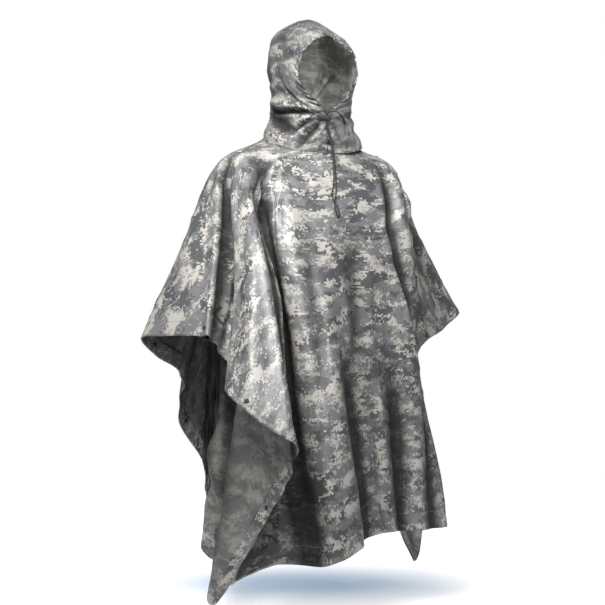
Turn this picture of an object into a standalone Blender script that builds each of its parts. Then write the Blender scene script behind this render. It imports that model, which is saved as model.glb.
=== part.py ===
"""Hooded rain poncho, worn over nobody: a sheet with a drawcord hood, turned hems and side snaps.

The sheet hangs from the shoulders in folds.  Each fold line is a row of SHEET_FOLDS: a rib that
runs from the neck seam over the shoulder oval to one place on the sheet's edge.  The hood is a row
of hoops, HOOD_HOOPS, that stand on the neck seam.  Metres, +Z up, the wearer faces -Y, and the
origin is the middle of the neck seam, between the shoulders.
"""
import math
from collections import namedtuple

import bpy
from mathutils import Matrix, Vector

# The cut sheet and its cloth.
SHEET_WIDTH = 1.46
SHEET_LENGTH = 2.10
CLOTH = 0.0015
HEM_CLOTH = 0.0012
GAP = 0.0003
SIDE_HEM = 0.037
BOTTOM_HEM = 0.048

# The neck seam is a tilted oval, and the shoulder oval is where the cloth starts to hang.
NECK_HALF_WIDTH = 0.125
NECK_HALF_DEPTH = 0.110
NECK_LEVEL = -0.0125
NECK_TILT = 0.0325
NECK_CUT_HALF_WIDTH = 0.130
NECK_CUT_HALF_DEPTH = 0.115
SHOULDER_HALF_WIDTH = 0.218
SHOULDER_MIDDLE = -0.008
CHEST_HALF_DEPTH = 0.135
SHOULDER_LEVEL = -0.045
CHEST_DROP = 0.075
BACK_DROP = 0.030

# How finely the faceted solids follow the ribs.
STEPS_PER_FOLD = 2
STEPS_DOWN = 10
HOOD_STEPS_UP = 12

# The hood's two halves meet in the plane x = 0, this far to each side of it.
HOOD_SEAM_HALF = 0.0004
CASING_SEAM_HALF = 0.0007
# The front and back halves of the sheet are cut apart along the arms by twice this, and the hems at
# the corners by twice this.
RIDGE_TRIM = 0.0008
CORNER_TRIM = 0.0015
# Where the cloth turns sharply, a layer on it moves out by up to one over this.
LEAST_LEAN = 0.4

Fold = namedtuple("Fold", "run turn x y z out")
# run: where the rib ends, metres along the sheet's edge from the right arm over the front.
# turn: where it crosses the shoulder oval, degrees from the front towards the wearer's left.
# x, y, z: its end on the edge.  out: how far its middle bows away from the body.
SHEET_FOLDS = (
    # right arm and the front's side edge, down to the corner
    Fold(0.00, -90, -0.471, -0.060, -0.480, 0.008),
    Fold(0.10, -82, -0.425, -0.165, -0.474, 0.015),
    Fold(0.20, -74, -0.380, -0.252, -0.476, 0.012),
    Fold(0.25, -70, -0.345, -0.202, -0.508, -0.010),
    Fold(0.29, -67, -0.316, -0.222, -0.550, -0.010),
    Fold(0.35, -64, -0.366, -0.290, -0.590, 0.000),
    Fold(0.47, -58, -0.335, -0.365, -0.640, 0.010),
    Fold(0.59, -51, -0.270, -0.405, -0.695, 0.012),
    Fold(0.64, -48, -0.243, -0.392, -0.726, 0.006),
    Fold(0.69, -47, -0.246, -0.362, -0.762, 0.000),
    Fold(0.76, -46, -0.250, -0.330, -0.812, 0.000),
    Fold(0.86, -45, -0.280, -0.290, -0.890, 0.000),
    Fold(0.96, -44, -0.312, -0.250, -0.975, 0.000),
    Fold(1.05, -43, -0.352, -0.208, -1.066, 0.004),
    # bottom front hem, from the right corner to the left one
    Fold(1.15, -41, -0.318, -0.112, -1.060, -0.010),
    Fold(1.26, -38, -0.232, -0.045, -1.060, -0.020),
    Fold(1.36, -35, -0.222, -0.090, -1.038, -0.010),
    Fold(1.47, -31, -0.191, -0.204, -0.993, 0.000),
    Fold(1.58, -24, -0.135, -0.302, -0.986, 0.008),
    Fold(1.66, -16, -0.095, -0.332, -0.968, 0.008),
    Fold(1.74, -7, -0.032, -0.300, -0.949, 0.004),
    Fold(1.83, 3, 0.034, -0.245, -0.940, 0.000),
    Fold(1.92, 14, 0.105, -0.195, -0.945, 0.000),
    Fold(2.01, 24, 0.160, -0.178, -0.950, 0.000),
    Fold(2.11, 34, 0.214, -0.181, -0.951, 0.004),
    Fold(2.20, 43, 0.275, -0.180, -0.949, 0.000),
    Fold(2.30, 48, 0.308, -0.110, -0.955, 0.000),
    Fold(2.40, 51, 0.285, -0.030, -0.970, -0.010),
    Fold(2.51, 54, 0.335, -0.012, -0.985, 0.000),
    # left side edge of the front, up to the arm
    Fold(2.66, 56, 0.300, 0.038, -0.910, -0.012),
    Fold(2.80, 58, 0.302, 0.070, -0.810, -0.014),
    Fold(2.92, 60, 0.322, 0.085, -0.720, -0.014),
    Fold(3.09, 66, 0.318, 0.040, -0.655, -0.008),
    Fold(3.22, 72, 0.285, -0.012, -0.595, 0.006),
    Fold(3.36, 76, 0.292, -0.042, -0.513, 0.004),
    Fold(3.46, 82, 0.383, 0.000, -0.472, -0.006),
    Fold(3.56, 90, 0.466, 0.034, -0.427, -0.012),
    # left side edge of the back, down to the corner
    Fold(3.66, 98, 0.440, 0.110, -0.460, -0.006),
    Fold(3.76, 106, 0.400, 0.185, -0.495, 0.000),
    Fold(3.90, 112, 0.370, 0.165, -0.605, -0.004),
    Fold(4.05, 117, 0.395, 0.155, -0.735, 0.004),
    Fold(4.25, 121, 0.400, 0.135, -0.870, 0.004),
    Fold(4.43, 125, 0.400, 0.110, -0.990, 0.000),
    Fold(4.61, 130, 0.388, 0.133, -1.097, 0.000),
    # bottom back hem, from the left corner to the right one
    Fold(4.72, 134, 0.355, 0.170, -1.015, 0.004),
    Fold(4.83, 140, 0.300, 0.235, -1.010, 0.006),
    Fold(4.94, 147, 0.235, 0.225, -1.012, -0.006),
    Fold(5.05, 156, 0.155, 0.315, -1.012, 0.010),
    Fold(5.16, 167, 0.070, 0.320, -1.010, 0.005),
    Fold(5.27, 179, 0.010, 0.265, -1.005, -0.005),
    Fold(5.38, 190, -0.055, 0.305, -1.010, 0.008),
    Fold(5.49, 201, -0.110, 0.290, -1.018, 0.010),
    Fold(5.60, 211, -0.115, 0.215, -1.022, -0.008),
    Fold(5.70, 220, -0.170, 0.200, -1.030, 0.008),
    Fold(5.80, 226, -0.160, 0.125, -1.020, -0.005),
    Fold(5.88, 231, -0.175, 0.040, -1.000, -0.006),
    Fold(5.95, 234, -0.262, -0.018, -0.978, -0.006),
    Fold(6.00, 236, -0.287, 0.020, -0.978, -0.016),
    Fold(6.07, 246, -0.205, 0.125, -1.035, -0.004),
    # right side edge of the back, up to the arm
    Fold(6.27, 249, -0.216, 0.128, -0.965, 0.000),
    Fold(6.47, 253, -0.228, 0.122, -0.880, 0.006),
    Fold(6.70, 256, -0.252, 0.100, -0.790, 0.008),
    Fold(6.84, 259, -0.325, 0.078, -0.681, 0.004),
    Fold(6.97, 262, -0.346, 0.018, -0.566, 0.000),
    Fold(7.05, 265, -0.412, -0.014, -0.526, 0.005),
)

Hoop = namedtuple("Hoop", "foot throat cheek temple top_y top_z")
# foot: where the hoop stands on the neck seam, degrees from the front.
# throat, cheek, temple: its half widths on the way up.  top_y, top_z: its top, on the centre seam.
HOOD_HOOPS = (
    Hoop(0, 0.001, 0.074, 0.058, -0.118, 0.237),
    Hoop(22, 0.048, 0.084, 0.066, -0.085, 0.260),
    Hoop(50, 0.080, 0.092, 0.073, -0.028, 0.284),
    Hoop(90, 0.092, 0.096, 0.075, 0.038, 0.305),
    Hoop(125, 0.084, 0.088, 0.070, 0.096, 0.308),
    Hoop(155, 0.050, 0.060, 0.052, 0.128, 0.215),
    Hoop(180, 0.000, 0.000, 0.000, 0.122, 0.110),
)
HOOP_LEVELS = (0.0, 0.31, 0.62, 0.86)
HOOD_COLUMNS = 10
CASING_SHARE = 0.05
HOOD_TURN = math.radians(-9)

# Snap fasteners, as distances from the arm's ridge down each half of a side edge.
FRONT_SNAPS = (0.18, 0.42, 0.82)
BACK_SNAPS = (0.05, 0.30, 0.72)
SNAP_RADIUS = 0.0055
SNAP_CAP_HEIGHT = 0.0018
SNAP_SOCKET_HEIGHT = 0.0024
SNAP_CLEARANCE = 0.0012

# The drawcord, its eyelets, its lock and the end that joins its two strands.
CORD_DIAMETER = 0.003
EYELET_RADIUS = 0.0055
EYELET_HOLE = 0.0025
EYELET_HEIGHT = 0.0012
LOCK_CENTRE = (-0.028, -0.126, 0.038)
LOCK_SIZE = (0.020, 0.013, 0.018)
LOCK_EDGE = 0.003
BUTTON_RADIUS = 0.0045
BUTTON_HEIGHT = 0.004
CORD_END_TOP = (-0.0215, -0.1565, -0.1700)
CORD_END_TIP = (-0.0161, -0.1640, -0.1990)
CORD_END_RADIUS = 0.0048
# Where each eyelet sits on its half of the hood: across from the edge, and up from the neck seam.
EYELET_PLACE = (0.075, 0.165)
# Each strand's route in the air: out of its eyelet and into the lock's top, then out of the lock's
# foot, down over the chest and into the cord end.
RIGHT_LEAD = (
    (-0.056, -0.1085, 0.0465),
    (-0.042, -0.1225, 0.0545),
)
LEFT_LEAD = (
    (0.016, -0.1215, 0.0455),
    (-0.013, -0.1285, 0.0545),
)
RIGHT_HANG = (
    (-0.0185, -0.1300, -0.023),
    (-0.0150, -0.1340, -0.065),
    (-0.0150, -0.1375, -0.108),
    (-0.0200, -0.1420, -0.127),
    (-0.0260, -0.1470, -0.144),
)
LEFT_HANG = (
    (-0.0145, -0.1300, -0.023),
    (-0.0110, -0.1340, -0.065),
    (-0.0095, -0.1375, -0.108),
    (-0.0120, -0.1420, -0.127),
    (-0.0150, -0.1470, -0.144),
)
STRAND_HALF_SPREAD = 0.0022

HALF_WIDTH = SHEET_WIDTH / 2
HALF_LENGTH = SHEET_LENGTH / 2
FRONT_RUN = 2 * HALF_LENGTH + SHEET_WIDTH


class Curve:
    """A smooth curve through points at rising knots, as a cubic with Catmull-Rom slopes."""

    def __init__(self, knots, points, closing=None):
        self.knots = list(knots)
        self.points = list(points)
        if closing is not None:
            self.knots.append(closing)
            self.points.append(self.points[0])
        count = len(self.points)
        self.slopes = []
        for i in range(count):
            before = i - 1
            after = i + 1
            if closing is not None:
                before = (i - 1) % (count - 1)
                after = (i + 1) % (count - 1)
                if i == count - 1:
                    before = count - 2
                    after = 1
            self.slopes.append(self.slope(i, before, after, closing))

    def slope(self, i, before, after, closing):
        """The direction of travel at point i."""
        count = len(self.points)
        if closing is None and i == 0:
            return (self.points[1] - self.points[0]) / (self.knots[1] - self.knots[0])
        if closing is None and i == count - 1:
            return (self.points[i] - self.points[i - 1]) / (self.knots[i] - self.knots[i - 1])
        step_in = self.knots[i] - self.knots[i - 1] if i > 0 else self.knots[-1] - self.knots[-2]
        step_out = self.knots[i + 1] - self.knots[i] if i < count - 1 else self.knots[1] - self.knots[0]
        rate_in = (self.points[i] - self.points[before]) / step_in
        rate_out = (self.points[after] - self.points[i]) / step_out
        return (rate_in * step_out + rate_out * step_in) / (step_in + step_out)

    def at(self, knot):
        """The point at one knot value."""
        i = 0
        while i < len(self.knots) - 2 and knot > self.knots[i + 1]:
            i += 1
        step = self.knots[i + 1] - self.knots[i]
        f = (knot - self.knots[i]) / step
        f2 = f * f
        f3 = f2 * f
        return (
            self.points[i] * (2 * f3 - 3 * f2 + 1)
            + self.slopes[i] * (step * (f3 - 2 * f2 + f))
            + self.points[i + 1] * (3 * f2 - 2 * f3)
            + self.slopes[i + 1] * (step * (f3 - f2))
        )


def curve_by_length(points):
    """A smooth curve from 0 to 1 through points, with knots in step with the chords' lengths."""
    lengths = [0.0]
    for a, b in zip(points, points[1:]):
        lengths.append(lengths[-1] + (b - a).length)
    return Curve([length / lengths[-1] for length in lengths], points)


# ---- the sheet ----


def neck_point(turn):
    """A point of the neck seam, at a bearing in degrees from the front."""
    angle = math.radians(turn)
    level = NECK_LEVEL - NECK_TILT * math.cos(angle)
    return Vector((NECK_HALF_WIDTH * math.sin(angle), -NECK_HALF_DEPTH * math.cos(angle), level))


def shoulder_point(turn):
    """A point of the oval over the shoulders, where the cloth starts to hang."""
    angle = math.radians(turn)
    drop = CHEST_DROP if math.cos(angle) > 0 else BACK_DROP
    level = SHOULDER_LEVEL - drop * math.cos(angle) ** 2
    across = SHOULDER_MIDDLE + SHOULDER_HALF_WIDTH * math.sin(angle)
    return Vector((across, -CHEST_HALF_DEPTH * math.cos(angle), level))


def rib(fold):
    """The curve of one fold line, from the neck seam to the sheet's edge."""
    start = neck_point(fold.turn)
    shoulder = shoulder_point(fold.turn)
    end = Vector((fold.x, fold.y, fold.z))
    away = Vector((end.x + shoulder.x, end.y + shoulder.y, 0.0)).normalized()
    middle = (shoulder + end) / 2 + away * fold.out
    return curve_by_length([start, shoulder, middle, end])


def fold_knots():
    """One knot for each fold, in step with the square root of the way between their ends."""
    ends = [Vector((fold.x, fold.y, fold.z)) for fold in SHEET_FOLDS]
    knots = [0.0]
    for a, b in zip(ends, ends[1:] + ends[:1]):
        knots.append(knots[-1] + math.sqrt((b - a).length))
    return knots


def hem_share(run, turn):
    """The share of a rib that its hem takes up, at a place on the sheet's edge."""
    angle = math.radians(turn)
    along = run % FRONT_RUN
    if HALF_LENGTH <= along <= HALF_LENGTH + SHEET_WIDTH:
        return BOTTOM_HEM / (HALF_LENGTH - NECK_CUT_HALF_DEPTH * abs(math.cos(angle)))
    return SIDE_HEM / (HALF_WIDTH - NECK_CUT_HALF_WIDTH * abs(math.sin(angle)))


def sheet_columns():
    """Knot, run and turn of each column of the sheet, once round from the right arm."""
    knots = fold_knots()
    runs = [fold.run for fold in SHEET_FOLDS] + [2 * FRONT_RUN]
    turns = [fold.turn for fold in SHEET_FOLDS] + [SHEET_FOLDS[0].turn + 360]
    columns = []
    for i in range(len(SHEET_FOLDS)):
        for step in range(STEPS_PER_FOLD):
            f = step / STEPS_PER_FOLD
            knot = knots[i] + f * (knots[i + 1] - knots[i])
            run = runs[i] + f * (runs[i + 1] - runs[i])
            turn = turns[i] + f * (turns[i + 1] - turns[i])
            columns.append((knot, run, turn))
    columns.append((knots[-1], runs[-1], turns[-1]))
    return columns


def sheet_grid():
    """The whole sheet's points, a list of columns from the neck seam to the edge, and their runs."""
    knots = fold_knots()
    ribs = [rib(fold) for fold in SHEET_FOLDS]
    columns = []
    runs = []
    for knot, run, turn in sheet_columns():
        hem = hem_share(run, turn)
        shares = [(1 - hem) * step / STEPS_DOWN for step in range(STEPS_DOWN + 1)] + [1.0]
        column = []
        for share in shares:
            across = Curve(knots[:-1], [curve.at(share) for curve in ribs], closing=knots[-1])
            column.append(across.at(knot))
        columns.append(column)
        runs.append(run)
    return columns, runs


# ---- the hood ----


def turned(point, angle):
    """A point turned about the vertical axis."""
    x = point.x * math.cos(angle) - point.y * math.sin(angle)
    y = point.x * math.sin(angle) + point.y * math.cos(angle)
    return Vector((x, y, point.z))


def mirrored(point):
    """A point on the other side of the hood's centre seam."""
    return Vector((-point.x, point.y, point.z))


def hoop_curve(hoop):
    """A whole hoop from 0 at its right foot to 1 at its left one, in the hood's own frame."""
    foot = turned(neck_point(math.degrees(HOOD_TURN) - hoop.foot), -HOOD_TURN)
    foot.z += CLOTH + GAP
    top = Vector((0.0, hoop.top_y, hoop.top_z))
    points = []
    for level, width in zip(HOOP_LEVELS, (-foot.x, hoop.throat, hoop.cheek, hoop.temple)):
        point = foot.lerp(top, level)
        point.x = -width
        points.append(point)
    others = [mirrored(point) for point in reversed(points)]
    return curve_by_length(points + [top] + others)


def hood_grid(side):
    """The points of the hood's right half (side -1) or left half (+1), columns of rising points."""
    hoops = [hoop_curve(hoop) for hoop in HOOD_HOOPS]
    shares = [0.0, CASING_SHARE]
    for step in range(1, HOOD_COLUMNS + 1):
        shares.append(CASING_SHARE + (0.5 - CASING_SHARE) * step / HOOD_COLUMNS)
    rows = []
    for step in range(HOOD_STEPS_UP + 1):
        level = 0.5 * step / HOOD_STEPS_UP
        points = [curve.at(level) for curve in hoops]
        others = [mirrored(point) for point in reversed(points[:-1])]
        around = curve_by_length(points + others)
        row = []
        for share in shares:
            point = around.at(share)
            point.x = side * max(-point.x, HOOD_SEAM_HALF)
            row.append(turned(point, HOOD_TURN))
        rows.append(row)
    return [list(column) for column in zip(*rows)]


# ---- meshes ----


def material(name, colour, roughness):
    """A plain Principled material."""
    made = bpy.data.materials.new(name)
    made.use_nodes = True
    shader = made.node_tree.nodes["Principled BSDF"]
    shader.inputs["Base Color"].default_value = (*colour, 1.0)
    shader.inputs["Roughness"].default_value = roughness
    shader.inputs["Metallic"].default_value = 0.0
    return made


def add_object(name, mesh, collection, finish):
    """An object of one mesh in the poncho's collection."""
    thing = bpy.data.objects.new(name, mesh)
    mesh.materials.append(finish)
    collection.objects.link(thing)
    return thing


def cloth_object(name, columns, outward, thickness, collection, finish):
    """A wall of cloth over a grid of points, whose faces look outwards."""
    height = len(columns[0])
    points = [point for column in columns for point in column]
    faces = []
    for i in range(len(columns) - 1):
        for j in range(height - 1):
            face = (i * height + j, i * height + j + 1, (i + 1) * height + j + 1, (i + 1) * height + j)
            faces.append(face if outward else face[::-1])
    mesh = bpy.data.meshes.new(name)
    mesh.from_pydata(points, [], faces)
    thing = add_object(name, mesh, collection, finish)
    mesh.shade_smooth()
    wall = thing.modifiers.new("wall", "SOLIDIFY")
    wall.thickness = thickness
    wall.offset = 0.0
    return thing


def moved_out(cloth, columns, distance):
    """The grid's points moved along the cloth's own normals, further where the cloth turns."""
    height = len(columns[0])
    vertices = cloth.data.vertices
    leans = [1.0] * len(vertices)
    for face in cloth.data.polygons:
        for index in face.vertices:
            leans[index] = min(leans[index], vertices[index].normal.dot(face.normal))
    moved = []
    for i, column in enumerate(columns):
        row = []
        for j, point in enumerate(column):
            index = i * height + j
            row.append(point + vertices[index].normal * (distance / max(leans[index], LEAST_LEAN)))
        moved.append(row)
    return moved


def trimmed(columns, first, last):
    """Columns whose first and last are drawn in along the cloth by the two distances."""
    kept = [list(column) for column in columns]
    for end, inner, distance in ((0, 1, first), (-1, -2, last)):
        for j, point in enumerate(columns[end]):
            step = columns[inner][j] - point
            if step.length > distance:
                kept[end][j] = point + step.normalized() * distance
    return kept


# ---- the pieces ----


def build_sheet(collection, finishes):
    """The front and the back of the sheet, and the turned hems inside their edges."""
    columns, runs = sheet_grid()
    ridge = next(i for i, run in enumerate(runs) if run >= FRONT_RUN)
    halves = (
        ("front", columns[: ridge + 1], runs[: ridge + 1], 0.0, ("right", "left")),
        ("back", columns[ridge:], runs[ridge:], FRONT_RUN, ("left", "right")),
    )
    sheets = {}
    for name, grid, places, start, sides in halves:
        grid = trimmed(grid, RIDGE_TRIM, RIDGE_TRIM)
        body = cloth_object("body_" + name, grid, True, CLOTH, collection, finishes["outside"])
        inside = moved_out(body, grid, -(CLOTH / 2 + GAP + HEM_CLOTH / 2))
        corners = (start, start + HALF_LENGTH, start + HALF_LENGTH + SHEET_WIDTH, start + FRONT_RUN)
        names = (
            "hem_side_%s_%s" % (name, sides[0]),
            "hem_bottom_" + name,
            "hem_side_%s_%s" % (name, sides[1]),
        )
        for hem, low, high in zip(names, corners, corners[1:]):
            chosen = [i for i, run in enumerate(places) if low - 0.001 < run < high + 0.001]
            strip = [inside[i][-2:] for i in chosen]
            strip = trimmed(strip, CORNER_TRIM, CORNER_TRIM)
            cloth_object(hem, strip, True, HEM_CLOTH, collection, finishes["hem"])
        sheets[name] = (grid, places, start)
    return sheets


def disc(name, centre, axis, radius, height, collection, finish):
    """A flat round piece whose middle is at centre."""
    bpy.ops.mesh.primitive_cylinder_add(vertices=12, radius=radius, depth=height)
    thing = bpy.context.object
    thing.name = name
    thing.location = centre
    thing.rotation_euler = axis.to_track_quat("Z", "Y").to_euler()
    thing.data.materials.append(finish)
    thing.data.shade_smooth()
    thing.data.set_sharp_from_angle(angle=math.radians(40))
    for other in thing.users_collection:
        other.objects.unlink(thing)
    collection.objects.link(thing)
    return thing


def snap_place(grid, places, run):
    """The middle of the hem and the cloth's outward direction, at a place on the edge."""
    i = max(k for k, place in enumerate(places[:-1]) if place <= run)
    corners = (grid[i][-1], grid[i][-2], grid[i + 1][-2], grid[i + 1][-1])
    centre = sum(corners, Vector()) / 4
    outward = (corners[2] - corners[0]).cross(corners[1] - corners[3]).normalized()
    return centre, outward


def build_snaps(collection, finishes, sheets):
    """Snap fasteners down the side edges, a cap outside and a socket inside at each place."""
    for half, distances in (("front", FRONT_SNAPS), ("back", BACK_SNAPS)):
        grid, places, start = sheets[half]
        sides = ("right", "left") if half == "front" else ("left", "right")
        for side, from_start in zip(sides, (True, False)):
            for number, distance in enumerate(distances, 1):
                run = start + distance if from_start else start + FRONT_RUN - distance
                centre, outward = snap_place(grid, places, run)
                name = "snap_%s_%s_%d" % (half, side, number)
                cap = centre + outward * (CLOTH / 2 + SNAP_CLEARANCE + SNAP_CAP_HEIGHT / 2)
                disc(name + "_cap", cap, outward, SNAP_RADIUS, SNAP_CAP_HEIGHT, collection,
                     finishes["hardware"])
                depth = CLOTH / 2 + GAP + HEM_CLOTH + SNAP_CLEARANCE + SNAP_SOCKET_HEIGHT / 2
                disc(name + "_socket", centre - outward * depth, outward, SNAP_RADIUS,
                     SNAP_SOCKET_HEIGHT, collection, finishes["hardware"])


def tube(name, route, collection, finish):
    """A cord along a smooth curve through its route's points."""
    curve = curve_by_length([Vector(point) for point in route])
    length = sum((Vector(b) - Vector(a)).length for a, b in zip(route, route[1:]))
    count = max(16, round(length / (2.5 * CORD_DIAMETER)))
    data = bpy.data.curves.new(name, "CURVE")
    data.dimensions = "3D"
    data.bevel_depth = CORD_DIAMETER / 2
    data.bevel_resolution = 2
    data.use_fill_caps = True
    spline = data.splines.new("POLY")
    spline.points.add(count)
    for i, point in enumerate(spline.points):
        point.co = (*curve.at(i / count), 1.0)
    return add_object(name, data, collection, finish)


def hood_place(grid, side):
    """The eyelet's place on one half of the hood, and the cloth's outward direction there."""
    across, up = EYELET_PLACE
    i = 1 + int(across * HOOD_COLUMNS)
    j = round(up * HOOD_STEPS_UP)
    corners = (grid[i][j], grid[i][j + 1], grid[i + 1][j + 1], grid[i + 1][j])
    centre = sum(corners, Vector()) / 4
    outward = (corners[2] - corners[0]).cross(corners[1] - corners[3]).normalized() * side
    return centre, outward


def build_eyelet(name, centre, outward, collection, finish):
    """A short ring that stands on the cloth."""
    profile = bpy.data.meshes.new(name)
    half = EYELET_HEIGHT / 2
    corners = (
        (EYELET_HOLE, 0, half),
        (EYELET_RADIUS, 0, half),
        (EYELET_RADIUS, 0, -half),
        (EYELET_HOLE, 0, -half),
    )
    profile.from_pydata(corners, [(0, 1), (1, 2), (2, 3), (3, 0)], [])
    thing = add_object(name, profile, collection, finish)
    turn = thing.modifiers.new("turned", "SCREW")
    turn.steps = 16
    turn.render_steps = 16
    turn.use_merge_vertices = True
    turn.merge_threshold = 0.00001
    thing.location = centre
    thing.rotation_euler = outward.to_track_quat("Z", "Y").to_euler()
    return thing


def build_drawcord(collection, finishes, grids):
    """Eyelets, the cord lock and its button, both strands and the end that joins them."""
    lock = Vector(LOCK_CENTRE)
    width, depth, height = LOCK_SIZE
    bpy.ops.mesh.primitive_cube_add(size=1.0, location=LOCK_CENTRE)
    body = bpy.context.object
    body.name = "cord_lock"
    body.data.transform(Matrix.Diagonal((width, depth, height, 1.0)))
    body.data.materials.append(finishes["hardware"])
    rounding = body.modifiers.new("rounded", "BEVEL")
    rounding.width = LOCK_EDGE
    rounding.segments = 2
    body.data.shade_smooth()
    for other in body.users_collection:
        other.objects.unlink(body)
    collection.objects.link(body)
    button = lock + Vector((-width / 2 - GAP - BUTTON_HEIGHT / 2, 0, 0))
    disc("cord_lock_button", button, Vector((1, 0, 0)), BUTTON_RADIUS, BUTTON_HEIGHT, collection,
         finishes["hardware"])
    top = Vector(CORD_END_TOP)
    tip = Vector(CORD_END_TIP)
    disc("cord_end", (top + tip) / 2, tip - top, CORD_END_RADIUS, (tip - top).length, collection,
         finishes["hardware"])
    strands = (("right", -1, RIGHT_LEAD, RIGHT_HANG), ("left", 1, LEFT_LEAD, LEFT_HANG))
    for name, side, lead, hang in strands:
        centre, outward = hood_place(grids[name], side)
        ring = centre + outward * (CLOTH / 2 + SNAP_CLEARANCE + EYELET_HEIGHT / 2)
        build_eyelet("eyelet_" + name, ring, outward, collection, finishes["hardware"])
        start = ring + outward * (EYELET_HEIGHT / 2 + GAP)
        over = lock + Vector((side * STRAND_HALF_SPREAD, 0, height / 2 + GAP))
        clear = over + Vector((0, 0, 1.4 * CORD_DIAMETER))
        route = (start, start + outward * CORD_DIAMETER, *lead, clear, over)
        tube("drawcord_%s_lead" % name, route, collection, finishes["cord"])
        under = lock + Vector((side * STRAND_HALF_SPREAD, 0, -height / 2 - GAP))
        along = (top - tip).normalized()
        joined = top + along * 2 * GAP + Vector((side * STRAND_HALF_SPREAD, 0, 0))
        below = under - Vector((0, 0, 2 * CORD_DIAMETER))
        route = (under, below, *hang, joined + along * 2 * CORD_DIAMETER, joined)
        tube("drawcord_" + name, route, collection, finishes["cord"])


def off_seam(point, side):
    """A point of the casing, kept on its own side of the hood's middle."""
    across = Vector((side * math.cos(HOOD_TURN), side * math.sin(HOOD_TURN), 0))
    return point + across * max(0.0, CASING_SEAM_HALF - point.dot(across))


def build_hood(collection, finishes):
    """The hood's two halves, and the drawcord casing inside each half's edge."""
    grids = {}
    for name, side in (("right", -1), ("left", 1)):
        grid = hood_grid(side)
        half = cloth_object("hood_" + name, grid, side < 0, CLOTH, collection, finishes["outside"])
        inside = moved_out(half, grid, -(CLOTH / 2 + 2 * GAP + HEM_CLOTH / 2))
        inside = [[off_seam(point, side) for point in column] for column in inside]
        cloth_object("casing_" + name, inside[:2], side < 0, HEM_CLOTH, collection, finishes["hem"])
        grids[name] = grid
    return grids


def build():
    """The whole poncho."""
    for thing in list(bpy.data.objects):
        bpy.data.objects.remove(thing)
    collection = bpy.data.collections.new("rain_poncho")
    bpy.context.scene.collection.children.link(collection)
    finishes = {
        "outside": material("camouflage_cloth", (0.30, 0.30, 0.30), 0.50),
        "hem": material("hem_cloth", (0.24, 0.24, 0.23), 0.60),
        "hardware": material("black_plastic", (0.02, 0.02, 0.02), 0.45),
        "cord": material("black_cord", (0.015, 0.015, 0.015), 0.80),
    }
    sheets = build_sheet(collection, finishes)
    build_snaps(collection, finishes, sheets)
    grids = build_hood(collection, finishes)
    build_drawcord(collection, finishes, grids)


build()
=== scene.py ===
"""A hooded rain poncho of grey digital camouflage cloth, worn open with no wearer inside."""
import math
from collections import namedtuple

import bpy
import numpy as np
from bpy.props import FloatProperty, FloatVectorProperty, IntProperty, PointerProperty
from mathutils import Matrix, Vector


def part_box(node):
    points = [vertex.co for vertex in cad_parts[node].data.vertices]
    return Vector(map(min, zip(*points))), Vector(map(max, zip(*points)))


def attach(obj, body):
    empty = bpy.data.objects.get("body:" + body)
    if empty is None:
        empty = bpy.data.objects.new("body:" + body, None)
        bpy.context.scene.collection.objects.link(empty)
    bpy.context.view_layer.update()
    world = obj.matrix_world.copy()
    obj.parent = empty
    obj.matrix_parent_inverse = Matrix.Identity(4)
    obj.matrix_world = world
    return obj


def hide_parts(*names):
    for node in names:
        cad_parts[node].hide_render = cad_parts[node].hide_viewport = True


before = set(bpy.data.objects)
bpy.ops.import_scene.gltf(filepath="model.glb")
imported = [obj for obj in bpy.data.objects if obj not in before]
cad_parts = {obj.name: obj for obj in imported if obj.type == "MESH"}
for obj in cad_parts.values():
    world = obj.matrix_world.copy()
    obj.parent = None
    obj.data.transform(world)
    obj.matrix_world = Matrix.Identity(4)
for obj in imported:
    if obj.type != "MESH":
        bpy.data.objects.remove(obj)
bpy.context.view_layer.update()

bl_info = {
    "name": "Rain poncho",
    "version": (1, 0, 0),
    "blender": (4, 5, 0),
    "location": "View3D > Sidebar > Poncho",
    "description": "Builds a hooded rain poncho, its snaps, drawcord and stitching",
    "category": "Add Mesh",
}

# ---- the cut and the drape ----

SHEET_WIDTH = 1.46
SHEET_LENGTH = 2.10
HALF_WIDTH = SHEET_WIDTH / 2
HALF_LENGTH = SHEET_LENGTH / 2
FRONT_RUN = 2 * HALF_LENGTH + SHEET_WIDTH
SIDE_HEM = 0.037
BOTTOM_HEM = 0.048
NECK_HALF_WIDTH = 0.125
NECK_HALF_DEPTH = 0.110
NECK_LEVEL = -0.0125
NECK_TILT = 0.0325
NECK_CUT_HALF_WIDTH = 0.130
NECK_CUT_HALF_DEPTH = 0.115
SHOULDER_HALF_WIDTH = 0.218
SHOULDER_MIDDLE = -0.008
CHEST_HALF_DEPTH = 0.135
SHOULDER_LEVEL = -0.045
CHEST_DROP = 0.075
BACK_DROP = 0.030

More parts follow.
